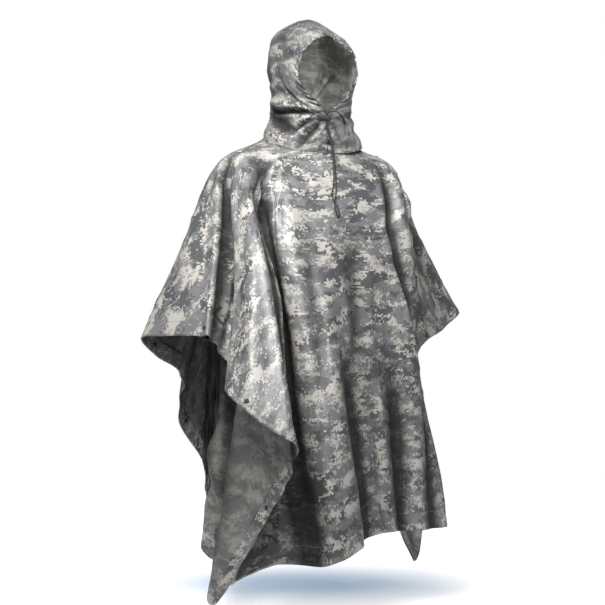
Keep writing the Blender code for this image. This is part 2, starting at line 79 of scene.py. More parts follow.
# One row for each fold line: where it meets the sheet's edge, measured in metres round the edge
# from the right shoulder line, the bearing at which it leaves the neck, the place of its end, and
# how far it bows out.
Fold = namedtuple("Fold", "run turn x y z out")
SHEET_FOLDS = (
    # right arm and the front's side edge, down to the corner
    Fold(0.00, -90, -0.471, -0.060, -0.480, 0.008),
    Fold(0.10, -82, -0.425, -0.165, -0.474, 0.015),
    Fold(0.20, -74, -0.380, -0.252, -0.476, 0.012),
    Fold(0.25, -70, -0.345, -0.202, -0.508, -0.010),
    Fold(0.29, -67, -0.316, -0.222, -0.550, -0.010),
    Fold(0.35, -64, -0.366, -0.290, -0.590, 0.000),
    Fold(0.47, -58, -0.335, -0.365, -0.640, 0.010),
    Fold(0.59, -51, -0.270, -0.405, -0.695, 0.012),
    Fold(0.64, -48, -0.243, -0.392, -0.726, 0.006),
    Fold(0.69, -47, -0.246, -0.362, -0.762, 0.000),
    Fold(0.76, -46, -0.250, -0.330, -0.812, 0.000),
    Fold(0.86, -45, -0.280, -0.290, -0.890, 0.000),
    Fold(0.96, -44, -0.312, -0.250, -0.975, 0.000),
    Fold(1.05, -43, -0.352, -0.208, -1.066, 0.004),
    # bottom front hem, from the right corner to the left one
    Fold(1.15, -41, -0.318, -0.112, -1.060, -0.010),
    Fold(1.26, -38, -0.232, -0.045, -1.060, -0.020),
    Fold(1.36, -35, -0.222, -0.090, -1.038, -0.010),
    Fold(1.47, -31, -0.191, -0.204, -0.993, 0.000),
    Fold(1.58, -24, -0.135, -0.302, -0.986, 0.008),
    Fold(1.66, -16, -0.095, -0.332, -0.968, 0.008),
    Fold(1.74, -7, -0.032, -0.300, -0.949, 0.004),
    Fold(1.83, 3, 0.034, -0.245, -0.940, 0.000),
    Fold(1.92, 14, 0.105, -0.195, -0.945, 0.000),
    Fold(2.01, 24, 0.160, -0.178, -0.950, 0.000),
    Fold(2.11, 34, 0.214, -0.181, -0.951, 0.004),
    Fold(2.20, 43, 0.275, -0.180, -0.949, 0.000),
    Fold(2.30, 48, 0.308, -0.110, -0.955, 0.000),
    Fold(2.40, 51, 0.285, -0.030, -0.970, -0.010),
    Fold(2.51, 54, 0.335, -0.012, -0.985, 0.000),
    # left side edge of the front, up to the arm
    Fold(2.66, 56, 0.300, 0.038, -0.910, -0.012),
    Fold(2.80, 58, 0.302, 0.070, -0.810, -0.014),
    Fold(2.92, 60, 0.322, 0.085, -0.720, -0.014),
    Fold(3.09, 66, 0.318, 0.040, -0.655, -0.008),
    Fold(3.22, 72, 0.285, -0.012, -0.595, 0.006),
    Fold(3.36, 76, 0.292, -0.042, -0.513, 0.004),
    Fold(3.46, 82, 0.383, 0.000, -0.472, -0.006),
    Fold(3.56, 90, 0.466, 0.034, -0.427, -0.012),
    # left side edge of the back, down to the corner
    Fold(3.66, 98, 0.440, 0.110, -0.460, -0.006),
    Fold(3.76, 106, 0.400, 0.185, -0.495, 0.000),
    Fold(3.90, 112, 0.370, 0.165, -0.605, -0.004),
    Fold(4.05, 117, 0.395, 0.155, -0.735, 0.004),
    Fold(4.25, 121, 0.400, 0.135, -0.870, 0.004),
    Fold(4.43, 125, 0.400, 0.110, -0.990, 0.000),
    Fold(4.61, 130, 0.388, 0.133, -1.097, 0.000),
    # bottom back hem, from the left corner to the right one
    Fold(4.72, 134, 0.355, 0.170, -1.015, 0.004),
    Fold(4.83, 140, 0.300, 0.235, -1.010, 0.006),
    Fold(4.94, 147, 0.235, 0.225, -1.012, -0.006),
    Fold(5.05, 156, 0.155, 0.315, -1.012, 0.010),
    Fold(5.16, 167, 0.070, 0.320, -1.010, 0.005),
    Fold(5.27, 179, 0.010, 0.265, -1.005, -0.005),
    Fold(5.38, 190, -0.055, 0.305, -1.010, 0.008),
    Fold(5.49, 201, -0.110, 0.290, -1.018, 0.010),
    Fold(5.60, 211, -0.115, 0.215, -1.022, -0.008),
    Fold(5.70, 220, -0.170, 0.200, -1.030, 0.008),
    Fold(5.80, 226, -0.160, 0.125, -1.020, -0.005),
    Fold(5.88, 231, -0.175, 0.040, -1.000, -0.006),
    Fold(5.95, 234, -0.262, -0.018, -0.978, -0.006),
    Fold(6.00, 236, -0.287, 0.020, -0.978, -0.016),
    Fold(6.07, 246, -0.205, 0.125, -1.035, -0.004),
    # right side edge of the back, up to the arm
    Fold(6.27, 249, -0.216, 0.128, -0.965, 0.000),
    Fold(6.47, 253, -0.228, 0.122, -0.880, 0.006),
    Fold(6.70, 256, -0.252, 0.100, -0.790, 0.008),
    Fold(6.84, 259, -0.325, 0.078, -0.681, 0.004),
    Fold(6.97, 262, -0.346, 0.018, -0.566, 0.000),
    Fold(7.05, 265, -0.412, -0.014, -0.526, 0.005),
)

# One row for each hoop of the hood: the bearing of its foot on the neck seam, its half widths at
# the throat, cheek and temple, and its top.
Hoop = namedtuple("Hoop", "foot throat cheek temple top_y top_z")
HOOD_HOOPS = (
    Hoop(0, 0.001, 0.074, 0.058, -0.118, 0.237),
    Hoop(22, 0.048, 0.084, 0.066, -0.085, 0.260),
    Hoop(50, 0.080, 0.092, 0.073, -0.028, 0.284),
    Hoop(90, 0.092, 0.096, 0.075, 0.038, 0.305),
    Hoop(125, 0.084, 0.088, 0.070, 0.096, 0.308),
    Hoop(155, 0.050, 0.060, 0.052, 0.128, 0.215),
    Hoop(180, 0.000, 0.000, 0.000, 0.122, 0.110),
)
HOOP_LEVELS = (0.0, 0.31, 0.62, 0.86)
CASING_SHARE = 0.05
HOOD_TURN = math.radians(-9)
HOOD_ROUND = 0.62
HOOD_RISE = 0.44
HOOD_FLAT = (0.33, 0.36)
HOOD_FLAT_SHARE = 0.95

# How finely the cloth is divided.
RIB_STEPS = 300
HEM_STEPS = 8
HOOD_CASING_STEPS = 8
HOOD_STEPS_ROUND = 84
HOOD_STEPS_UP = 96

# Gaps between two layers of cloth, on each side of the shoulder line, and at a hem's ends.
LAYER_GAP = 0.0001
SHOULDER_GAP = 0.00005
HEM_END_GAP = 0.0008

# Heights of the sheet's uneven flutes, swells and crumples, and of the hood's, and how far round
# an eyelet the cloth stays flat.
FLUTES = 0.0055
SMALL_FLUTES = 0.0030
SWELLS = 0.0030
CRUMPLES = 0.0022
SMALL_CRUMPLES = 0.0010
GATHERS = 0.0042
THROAT_FOLDS = 0.0022
HOOD_SWELLS = 0.0035
HOOD_CRUMPLES = 0.0020
EYELET_CALM = 0.011
SHEET_SEED = 3

# Painted fold shade, which darkens the print's colour: the depth of crease at which it is full, and
# its share all over the hood and in the hood's gathers.
FULL_DEPTH = 0.0115
HOOD_SHADE = 0.12
GATHER_SHADE = 0.75

# Creases pressed or pulled into the cloth. A way is in metres on the flat piece, the depth is
# inwards, and a negative depth is a ridge.
Crease = namedtuple("Crease", "way depth width")
FRONT_CREASES = (
    # valley between the right arm and the chest, and the soft ridges beside it
    Crease(((-0.200, -0.024), (-0.290, -0.070), (-0.366, -0.110), (-0.451, -0.127), (-0.530, -0.153),
            (-0.609, -0.176), (-0.688, -0.196), (-0.900, -0.251)), 0.027, 0.0140),
    Crease(((-0.230, -0.085), (-0.335, -0.150), (-0.470, -0.200), (-0.640, -0.262), (-0.800, -0.320)),
           -0.008, 0.026),
    Crease(((-0.330, -0.020), (-0.480, -0.050), (-0.640, -0.085), (-0.800, -0.120)), -0.006, 0.030),
    # valley beside the loose panel that hangs from the right side of the chest
    Crease(((-0.160, -0.125), (-0.215, -0.190), (-0.290, -0.262), (-0.378, -0.320), (-0.432, -0.366),
            (-0.507, -0.436), (-0.595, -0.520), (-0.672, -0.585), (-0.800, -0.740)), 0.026, 0.018),
    Crease(((-0.200, -0.110), (-0.270, -0.190), (-0.364, -0.250), (-0.516, -0.335), (-0.700, -0.440)),
           -0.006, 0.024),
    Crease(((-0.172, -0.090), (-0.174, -0.150), (-0.172, -0.224), (-0.166, -0.323), (-0.170, -0.391),
            (-0.184, -0.475), (-0.196, -0.559), (-0.205, -0.643), (-0.214, -0.710), (-0.226, -0.800),
            (-0.246, -0.960)),
           0.020, 0.021),
    # valley and ridge between the chest and the left arm
    Crease(((0.128, -0.105), (0.120, -0.150), (0.118, -0.210), (0.120, -0.303), (0.156, -0.395),
            (0.224, -0.490), (0.304, -0.609), (0.400, -0.730)), 0.020, 0.012),
    Crease(((0.150, -0.110), (0.150, -0.200), (0.148, -0.290), (0.188, -0.380), (0.262, -0.470),
            (0.350, -0.570)), -0.009, 0.010),
    Crease(((0.190, -0.120), (0.185, -0.230), (0.215, -0.350), (0.300, -0.450), (0.400, -0.520)),
           0.020, 0.014),
    Crease(((0.240, -0.080), (0.330, -0.130), (0.480, -0.175), (0.640, -0.200), (0.800, -0.215)),
           0.004, 0.018),
    Crease(((0.260, -0.020), (0.400, -0.035), (0.560, -0.052), (0.800, -0.075)), 0.007, 0.020),
    # soft flutes that fall from the chest
    Crease(((-0.050, -0.240), (-0.055, -0.325), (-0.081, -0.473), (-0.100, -0.580), (-0.130, -0.720)),
           0.009, 0.020),
    Crease(((0.030, -0.270), (0.032, -0.386), (0.038, -0.558), (0.030, -0.680)), 0.010, 0.022),
    Crease(((-0.215, -0.700), (-0.225, -0.860), (-0.240, -1.200)), 0.016, 0.040),
    Crease(((-0.120, -0.420), (-0.130, -0.600), (-0.140, -0.800), (-0.165, -1.120)), -0.006, 0.024),
    Crease(((-0.020, -0.560), (-0.010, -0.740), (0.010, -0.920), (0.020, -1.200)), 0.017, 0.034),
    Crease(((0.060, -0.460), (0.100, -0.650), (0.120, -0.850), (0.130, -1.120)), -0.006, 0.024),
    Crease(((0.170, -0.580), (0.195, -0.760), (0.215, -0.920), (0.225, -1.200)), 0.016, 0.034),
    Crease(((0.330, -0.680), (0.345, -0.860), (0.375, -1.200)), 0.014, 0.028),
    Crease(((0.560, -0.520), (0.590, -0.700), (0.600, -0.900), (0.610, -1.120)), 0.009, 0.024),
    Crease(((-0.340, -0.520), (-0.480, -0.700), (-0.580, -0.850), (-0.700, -1.120)), 0.010, 0.034),
    # drag lines under the neck and marks left by folding
    Crease(((-0.095, -0.148), (-0.066, -0.185), (-0.030, -0.228)), 0.0035, 0.006),
    Crease(((-0.055, -0.138), (-0.030, -0.175), (0.000, -0.215)), 0.0035, 0.005),
    Crease(((-0.150, -0.118), (-0.128, -0.170), (-0.120, -0.240)), 0.0045, 0.008),
    Crease(((0.050, -0.128), (0.075, -0.160), (0.092, -0.215)), 0.0035, 0.007),
    Crease(((-0.114, -0.221), (-0.128, -0.300), (-0.146, -0.408)), 0.0022, 0.003),
    Crease(((-0.028, -0.560), (-0.040, -0.630), (-0.053, -0.690)), 0.0020, 0.003),
)
BACK_CREASES = (
    Crease(((0.255, 0.045), (0.330, 0.095), (0.420, 0.120), (0.560, 0.150), (0.800, 0.205)), 0.014, 0.014),
    Crease(((0.170, 0.110), (0.250, 0.210), (0.360, 0.330), (0.500, 0.450), (0.760, 0.640)), 0.012, 0.018),
    Crease(((-0.255, 0.045), (-0.340, 0.085), (-0.460, 0.120), (-0.600, 0.150), (-0.800, 0.210)),
           0.014, 0.014),
    Crease(((-0.150, 0.115), (-0.220, 0.220), (-0.330, 0.360), (-0.480, 0.480), (-0.740, 0.660)),
           0.011, 0.018),
    Crease(((-0.040, 0.240), (-0.060, 0.420), (-0.080, 0.640), (-0.095, 1.120)), 0.008, 0.024),
    Crease(((0.060, 0.210), (0.085, 0.400), (0.110, 0.660), (0.140, 1.120)), 0.009, 0.026),
    Crease(((0.180, 0.330), (0.240, 0.560), (0.290, 0.800), (0.320, 1.120)), 0.008, 0.024),
    Crease(((-0.200, 0.380), (-0.250, 0.600), (-0.280, 0.820), (-0.300, 1.120)), 0.009, 0.026),
    Crease(((0.440, 0.520), (0.500, 0.740), (0.530, 1.120)), 0.008, 0.024),
    Crease(((-0.640, 0.480), (-0.590, 0.640), (-0.585, 0.860), (-0.600, 1.120)), -0.009, 0.016),
    Crease(((-0.560, 0.420), (-0.540, 0.640), (-0.545, 0.860), (-0.560, 1.120)), 0.008, 0.014),
    Crease(((-0.420, 0.560), (-0.440, 0.760), (-0.470, 1.120)), 0.008, 0.024),
    Crease(((0.000, 0.130), (0.002, 0.300), (0.000, 0.520)), 0.0020, 0.003),
    Crease(((-0.300, 0.520), (0.000, 0.524), (0.300, 0.520)), 0.0018, 0.003),
)
HOOD_RIGHT_CREASES = (
    # the fold across the throat, and the hollow under it
    Crease(((0.190, 0.096), (0.150, 0.099), (0.120, 0.102), (0.087, 0.112), (0.050, 0.121), (0.000, 0.116)),
           0.016, 0.007),
    Crease(((0.180, 0.124), (0.130, 0.126), (0.090, 0.134), (0.050, 0.143)), -0.010, 0.011),
    Crease(((0.190, 0.068), (0.150, 0.074), (0.112, 0.069), (0.070, 0.062)), 0.016, 0.022),
    Crease(((0.165, 0.028), (0.130, 0.030), (0.090, 0.020)), -0.004, 0.014),
    # pulls that run down from the drawcord
    Crease(((0.000, 0.112), (0.016, 0.092), (0.041, 0.046), (0.070, -0.004)), 0.014, 0.006),
    Crease(((0.014, 0.116), (0.034, 0.096), (0.062, 0.052), (0.092, 0.008)), -0.010, 0.007),
    Crease(((0.010, 0.110), (0.050, 0.088), (0.084, 0.048)), 0.010, 0.006),
    Crease(((0.052, 0.006), (0.036, 0.026), (0.019, 0.036), (0.000, 0.030)), 0.006, 0.006),
    Crease(((0.040, 0.000), (0.024, 0.014), (0.006, 0.016)), -0.004, 0.007),
    # slack over the cheek and the crown
    Crease(((0.090, 0.222), (0.083, 0.190), (0.066, 0.156), (0.027, 0.130)), 0.006, 0.008),
    Crease(((0.170, 0.150), (0.120, 0.160), (0.085, 0.172), (0.050, 0.168)), 0.005, 0.009),
    Crease(((0.150, 0.236), (0.100, 0.258), (0.050, 0.286), (0.005, 0.306)), 0.006, 0.010),
    Crease(((0.170, 0.296), (0.110, 0.312), (0.060, 0.334), (0.015, 0.352)), 0.005, 0.010),
    Crease(((0.230, 0.210), (0.180, 0.190), (0.140, 0.200)), 0.006, 0.014),
    Crease(((0.120, 0.376), (0.075, 0.388), (0.030, 0.402)), 0.004, 0.009),
)
HOOD_LEFT_CREASES = (
    Crease(((0.190, 0.088), (0.140, 0.092), (0.100, 0.098), (0.060, 0.108), (0.000, 0.114)), 0.005, 0.010),
    Crease(((0.170, 0.056), (0.120, 0.060), (0.070, 0.052)), 0.004, 0.018),
    Crease(((0.000, 0.112), (0.022, 0.086), (0.034, 0.050), (0.040, 0.010)), 0.006, 0.006),
    Crease(((0.006, 0.114), (0.046, 0.096), (0.074, 0.058)), 0.006, 0.007),
    Crease(((0.000, 0.034), (0.014, 0.026), (0.030, 0.006)), 0.005, 0.006),
    Crease(((0.006, 0.064), (0.012, 0.030), (0.006, 0.000)), 0.003, 0.005),
    Crease(((0.120, 0.200), (0.090, 0.176), (0.050, 0.150), (0.020, 0.134)), 0.003, 0.009),
    Crease(((0.160, 0.250), (0.110, 0.262), (0.060, 0.282), (0.010, 0.300)), 0.006, 0.010),
    Crease(((0.180, 0.320), (0.120, 0.330), (0.060, 0.352)), 0.005, 0.011),
    Crease(((0.240, 0.220), (0.200, 0.200), (0.150, 0.206)), 0.006, 0.014),
)

# The cord lock, how far from its middle its button starts, the end that joins the two strands, and
# the strands' ways from the eyelets to the lock and from the lock down to the end.
LOCK_CENTRE = (-0.028, -0.126, 0.038)
LOCK_SIZE = (0.020, 0.013, 0.018)
BUTTON_AHEAD = 0.0101
CORD_END_TOP = (-0.0215, -0.1565, -0.1700)
CORD_END_TIP = (-0.0161, -0.1640, -0.1990)
RIGHT_LEAD = (
    (-0.056, -0.1085, 0.0465),
    (-0.042, -0.1225, 0.0545),
)
LEFT_LEAD = (
    (0.016, -0.1215, 0.0455),
    (-0.013, -0.1285, 0.0545),
)
RIGHT_HANG = (
    (-0.0185, -0.1300, -0.023),
    (-0.0150, -0.1340, -0.065),
    (-0.0150, -0.1375, -0.108),
    (-0.0200, -0.1420, -0.127),
    (-0.0260, -0.1470, -0.144),
)
LEFT_HANG = (
    (-0.0145, -0.1300, -0.023),
    (-0.0110, -0.1340, -0.065),
    (-0.0095, -0.1375, -0.108),
    (-0.0120, -0.1420, -0.127),
    (-0.0150, -0.1470, -0.144),
)
STRAND_HALF_SPREAD = 0.0022
CORD_STEPS = 90

# Profiles of the turned fittings, as pairs of radius and height.
CORD_END_PROFILE = (
    (0.0030, 0.0), (0.0042, 0.0006), (0.0046, 0.002), (0.0046, 0.006), (0.0040, 0.0068),
    (0.0040, 0.0085), (0.0047, 0.0095), (0.0048, 0.022), (0.0046, 0.0275), (0.0036, 0.0298),
)
LOCK_PROFILE = (
    (0.0045, 0.0), (0.0062, 0.0006), (0.0066, 0.0020), (0.0067, 0.0100), (0.0064, 0.0150),
    (0.0058, 0.0168), (0.0062, 0.0180), (0.0060, 0.0192), (0.0048, 0.0200),
)
BUTTON_PROFILE = (
    (0.0034, -0.001), (0.0038, 0.0), (0.0044, 0.0006), (0.0045, 0.0026), (0.0040, 0.0038),
    (0.0026, 0.0043),
)
EYELET_PROFILE = (
    (0.0026, 0.0), (0.0056, 0.0), (0.0055, 0.0007), (0.0046, 0.0013), (0.0034, 0.0014),
    (0.0026, 0.0009), (0.0022, 0.0002),
)

# The two halves of a snap: its rim and the rim's wire, how far the rim stands up, and its dome's
# radius and flatness.
SnapHalf = namedtuple("SnapHalf", "rim wire rise dome flatness")
SNAP_HALVES = {
    "cap": SnapHalf(0.0048, 0.0006, 0.0004, 0.0044, 0.32),
    "socket": SnapHalf(0.0038, 0.0008, 0.0008, 0.0016, 0.7),
}
SNAP_PLATE = 0.0010

# Colours and thresholds of the print, and the colour of the painted shade in folds. A patch starts
# where the noise passes its threshold, and a square is speckled where its own chance passes SPECKLED.
WHITE = (1.0, 1.0, 1.0, 1.0)
# Painted shade: the colour that the print is multiplied towards deep in folds and gathers.
PAINTED_FOLD_SHADE = (0.08, 0.08, 0.084, 1.0)
CLOUD_TONE = (0.86, 0.86, 0.87, 1.0)
COATING = (0.105, 0.102, 0.092)
INSIDE_STRENGTH = 0.5
PALE_FROM = 0.545
RING_FROM = 0.505
DARK_FROM = 0.53
SPECKLED = 0.90

# One row for each studio light: how far it stands from the middle of the poncho, ahead, to the right
# and up as the camera sees it, the height of the point that it faces, its size, power and tint, and
# its beam in degrees.
Lamp = namedtuple("Lamp", "name ahead right up aim size power tint beam")
WARM = (1.0, 0.995, 0.98)
COOL = (0.97, 0.985, 1.0)
PONCHO_MIDDLE = -0.25
CHEST_LEVEL = -0.12
LAMPS = (
    Lamp("key", -1.75, -0.60, 1.45, CHEST_LEVEL, (0.7, 0.9), 10.5, WARM, 64),
    Lamp("chest", -1.30, 0.10, 0.65, CHEST_LEVEL, (0.5, 0.5), 5.5, WARM, 90),
    Lamp("top", 0.2, -0.4, 2.5, PONCHO_MIDDLE, (1.2, 1.2), 14.0, WHITE[:3], 180),
    Lamp("side", -0.5, -2.6, 0.5, PONCHO_MIDDLE, (0.8, 1.6), 6.0, COOL, 180),
    Lamp("back", 2.6, 0.5, 0.4, PONCHO_MIDDLE, (1.4, 1.6), 15.0, COOL, 180),
)
FACE_MIDDLE = (-0.004, -0.100, 0.150)
FACE_LIGHT = 0.28
CAMERA_ASIDE = -0.0235
CAMERA_LEVEL = -0.40
CAMERA_LENS = 77.12
CAMERA_SENSOR = 36.0
FLOOR_REACH = 2.6


# ---- settings ----


class ClothSettings(bpy.types.PropertyGroup):
    """Sizes and colours of the cloth."""

    thickness: FloatProperty(name="Cloth", description="Thickness of the coated cloth",
                             default=0.0011, unit="LENGTH")
    hem_thickness: FloatProperty(name="Turned hem", description="Thickness of a turned hem",
                                 default=0.0009, unit="LENGTH")
    steps_down: IntProperty(name="Rows", description="Rows of cloth from the neck to the hem",
                            default=92)
    steps_round: IntProperty(name="Columns", description="Columns of cloth between two fold lines",
                             default=13)
    light: FloatVectorProperty(name="Light grey", description="Lightest print colour",
                               subtype="COLOR", default=(0.36, 0.345, 0.315))
    middle: FloatVectorProperty(name="Middle grey", description="Ground colour of the print",
                                subtype="COLOR", default=(0.132, 0.133, 0.136))
    dark: FloatVectorProperty(name="Dark grey", description="Darkest print colour",
                              subtype="COLOR", default=(0.066, 0.067, 0.069))
    block: FloatProperty(name="Print block", description="Side of one square of the print",
                         default=0.0038, unit="LENGTH")


class TrimSettings(bpy.types.PropertyGroup):
    """Sizes and colours of the cord, snaps and stitching."""

    cord_diameter: FloatProperty(name="Cord", description="Diameter of the drawcord",
                                 default=0.003, unit="LENGTH")
    snap_radius: FloatProperty(name="Snap", description="Radius of a snap fastener",
                               default=0.0055, unit="LENGTH")
    stitch_length: FloatProperty(name="Stitch", description="Length of one stitch",
                                 default=0.0030, unit="LENGTH")
    stitch_pitch: FloatProperty(name="Pitch", description="Distance from stitch to stitch",
                                default=0.0045, unit="LENGTH")
    black: FloatVectorProperty(name="Black", description="Colour of the cord and fittings",
                               subtype="COLOR", default=(0.0035, 0.0035, 0.004))


class StageSettings(bpy.types.PropertyGroup):
    """The floor, the lights and the camera."""

    floor_level: FloatProperty(name="Floor", description="Height of the floor",
                               default=-1.16, unit="LENGTH")
    distance: FloatProperty(name="Camera distance", description="Camera to the poncho's middle",
                            default=3.2, unit="LENGTH")
    bearing: FloatProperty(name="Camera bearing", description="Turn of the camera round the poncho",
                           default=math.radians(-28), subtype="ANGLE")


# ---- shaders ----


class Value:
    """A socket's value, on which Python's operators add Math nodes."""

    def __init__(self, shader, socket):
        self.shader = shader
        self.socket = socket

    def math(self, operation, *values):
        node = self.shader.node("ShaderNodeMath", {"operation": operation}, *values)
        return Value(self.shader, node.outputs[0])

    def __add__(self, other):
        return self.math("ADD", self, other)

    def __radd__(self, other):
        return self.math("ADD", other, self)

    def __sub__(self, other):
        return self.math("SUBTRACT", self, other)

    def __rsub__(self, other):
        return self.math("SUBTRACT", other, self)

    def __mul__(self, other):
        return self.math("MULTIPLY", self, other)

    def __rmul__(self, other):
        return self.math("MULTIPLY", other, self)

    def __gt__(self, other):
        return self.math("GREATER_THAN", self, other)

    def ramp(self, low, high):
        """0 below low, 1 above high and smooth between."""
        node = self.shader.node("ShaderNodeMapRange", {"interpolation_type": "SMOOTHSTEP"},
                                Value=self, **{"From Min": low, "From Max": high})
        return Value(self.shader, node.outputs["Result"])


class Nodes:
    """Adds nodes to a tree."""

    def __init__(self, tree):
        self.tree = tree

    def put(self, socket, value):
        if isinstance(value, Value):
            self.tree.links.new(value.socket, socket)
        elif isinstance(value, bpy.types.NodeSocket):
            self.tree.links.new(value, socket)
        else:
            socket.default_value = value

    def node(self, kind, settings=None, *values, **named):
        """A node of a type, with its settings, then its sockets' values or links."""
        node = self.tree.nodes.new(kind)
        for key, value in (settings or {}).items():
            setattr(node, key, value)
        for socket, value in zip(node.inputs, values):
            self.put(socket, value)
        for key, value in named.items():
            self.put(node.inputs[key], value)
        return node


class Shader(Nodes):
    """A Principled material and the nodes that feed it."""

    def __init__(self, name, **constants):
        self.material = bpy.data.materials.new(name)
        self.material.use_nodes = True
        super().__init__(self.material.node_tree)
        self.surface = self.tree.nodes["Principled BSDF"]
        for socket, value in constants.items():
            self.surface.inputs[socket.replace("_", " ")].default_value = value

    def value(self, kind, settings=None, output=0, **named):
        return Value(self, self.node(kind, settings, **named).outputs[output])

    def vector(self, operation, *values):
        return self.node("ShaderNodeVectorMath", {"operation": operation}, *values).outputs[0]

    def length(self, vector):
        node = self.node("ShaderNodeVectorMath", {"operation": "LENGTH"}, vector)
        return Value(self, node.outputs["Value"])

    def noise(self, vector, scale, detail=2.0, roughness=0.5):
        return self.value("ShaderNodeTexNoise", {"noise_dimensions": "3D"}, Vector=vector,
                          Scale=scale, Detail=detail, Roughness=roughness)

    def mix(self, factor, low, high, blend="MIX"):
        node = self.node("ShaderNodeMix", {"data_type": "RGBA", "blend_type": blend})
        self.put(node.inputs[0], factor)
        self.put(node.inputs[6], low)
        self.put(node.inputs[7], high)
        return node.outputs[2]

    def feed(self, **named):
        for socket, value in named.items():
            self.put(self.surface.inputs[socket.replace("_", " ")], value)

    def bump(self, height, strength, distance):
        node = self.node("ShaderNodeBump", None, Height=height)
        node.inputs["Strength"].default_value = strength
        node.inputs["Distance"].default_value = distance
        return node.outputs["Normal"]


def colour(values):
    return (*values, 1.0)


def camouflage(name, settings, inside):
    """The printed cloth, its sharp outside or its dull inside, with painted shade in its folds."""
    shader = Shader(name, Specular_IOR_Level=0.5, Coat_Roughness=0.30)
    flat = shader.node("ShaderNodeUVMap", {"uv_map": "cloth"}).outputs["UV"]
    cell = (settings.block, settings.block, settings.block)
    spot = shader.vector("SNAP", flat, cell)
    wide = shader.vector("MULTIPLY", spot, (0.55, 1.0, 1.0))
    grain = shader.value("ShaderNodeTexWhiteNoise", {"noise_dimensions": "3D"}, Vector=spot)
    apart = shader.vector("ADD", wide, (5.3, 2.1, 0.7))
    large = shader.noise(wide, 30.0, 5.0, 0.72) + (grain - 0.5) * 0.09
    other = shader.noise(apart, 26.0, 4.0, 0.68) + (grain - 0.5) * 0.06
    chance = shader.value("ShaderNodeTexWhiteNoise", {"noise_dimensions": "3D"}, Vector=wide)
    speckled = large - (chance > SPECKLED) * 0.07
    pale = large.ramp(0.485, 0.60) if inside else speckled > PALE_FROM
    ring = large.ramp(0.44, 0.56) if inside else speckled > RING_FROM
    dark = other.ramp(0.46, 0.60) if inside else other > DARK_FROM
    strength = INSIDE_STRENGTH if inside else 1.0
    low, middle, high = (
        [strength * part + (1 - strength) * grey for part, grey in zip(values, COATING)]
        for values in (settings.dark, settings.middle, settings.light)
    )
    between = [0.60 * a + 0.40 * b for a, b in zip(middle, high)]
    ground = shader.mix(dark, colour(middle), colour(low))
    ringed = shader.mix(ring * (1.0 - dark), ground, colour(between))
    printed = shader.mix(pale, ringed, colour(high))
    cloudy = shader.noise(flat, 5.0, 3.0, 0.6)
    cloud = shader.mix(cloudy.ramp(0.35, 0.7), CLOUD_TONE, WHITE)
    # Painted shade: the fold attribute darkens the print in folds and the hood's gathers, and there it also
    # roughens the surface and thins the coat so that no sheen lifts the shade.
    fold = shader.value("ShaderNodeAttribute", {"attribute_name": "fold"}, 2)
    shade = shader.mix(fold, cloud, PAINTED_FOLD_SHADE)
    swell = shader.noise(flat, 24.0, 3.0, 0.55) - 0.5
    crumple = swell.math("ABSOLUTE", swell)
    weave = shader.noise(flat, 900.0, 1.0, 0.5)
    shader.feed(
        Base_Color=shader.mix(1.0, printed, shade, "MULTIPLY"),
        Roughness=0.38 + cloudy * 0.14 + fold * 0.4,
        Coat_Weight=(1.0 - fold) * (0.05 if inside else 0.24),
        Normal=shader.bump(crumple + weave * 0.035, 0.6, 0.0060),
    )
    return shader.material


def black_cord(settings):
    """Braided black cord."""
    shader = Shader("black_cord", Roughness=0.9, Specular_IOR_Level=0.05)
    place = shader.node("ShaderNodeTexCoord").outputs["Object"]
    braid = shader.value("ShaderNodeTexWave", {"bands_direction": "DIAGONAL"}, Vector=place,
                         Scale=260.0, Distortion=1.5)
    shader.feed(
        Base_Color=shader.mix(braid, colour(settings.black), (0.007, 0.007, 0.0075, 1.0)),
        Normal=shader.bump(braid, 0.6, 0.0006),
    )
    return shader.material


def black_plastic(settings):
    """Moulded black plastic with a faint grain."""
    shader = Shader("black_plastic", Roughness=0.38, Specular_IOR_Level=0.2)
    place = shader.node("ShaderNodeTexCoord").outputs["Object"]
    grain = shader.noise(place, 1400.0, 2.0, 0.6)
    worn = shader.noise(place, 120.0, 3.0, 0.6)
    shader.feed(
        Base_Color=shader.mix(worn.ramp(0.4, 0.75), colour(settings.black), (0.010, 0.010, 0.011, 1.0)),
        Roughness=0.34 + worn * 0.2,
        Normal=shader.bump(grain, 0.25, 0.0003),
    )
    return shader.material


def thread():
    """Grey sewing thread."""
    shader = Shader("thread", Roughness=0.6, Specular_IOR_Level=0.35)
    place = shader.node("ShaderNodeTexCoord").outputs["Object"]
    strand = shader.noise(place, 1500.0, 2.0, 0.6)
    shader.feed(
        Base_Color=shader.mix(strand, (0.10, 0.10, 0.10, 1.0), (0.22, 0.22, 0.215, 1.0)),
        Normal=shader.bump(strand, 0.4, 0.0002),
    )
    return shader.material


MAKERS = {
    "camouflage_outside": lambda scene: camouflage("camouflage_outside", scene.poncho_cloth, False),
    "camouflage_inside": lambda scene: camouflage("camouflage_inside", scene.poncho_cloth, True),
    "black_cord": lambda scene: black_cord(scene.poncho_trim),
    "black_plastic": lambda scene: black_plastic(scene.poncho_trim),
    "thread": lambda scene: thread(),
}


def finish_of(name):
    """A finish, made the first time that it is asked for."""
    made = bpy.data.materials.get(name)
    return made if made else MAKERS[name](bpy.context.scene)


# ---- curves and grids ----


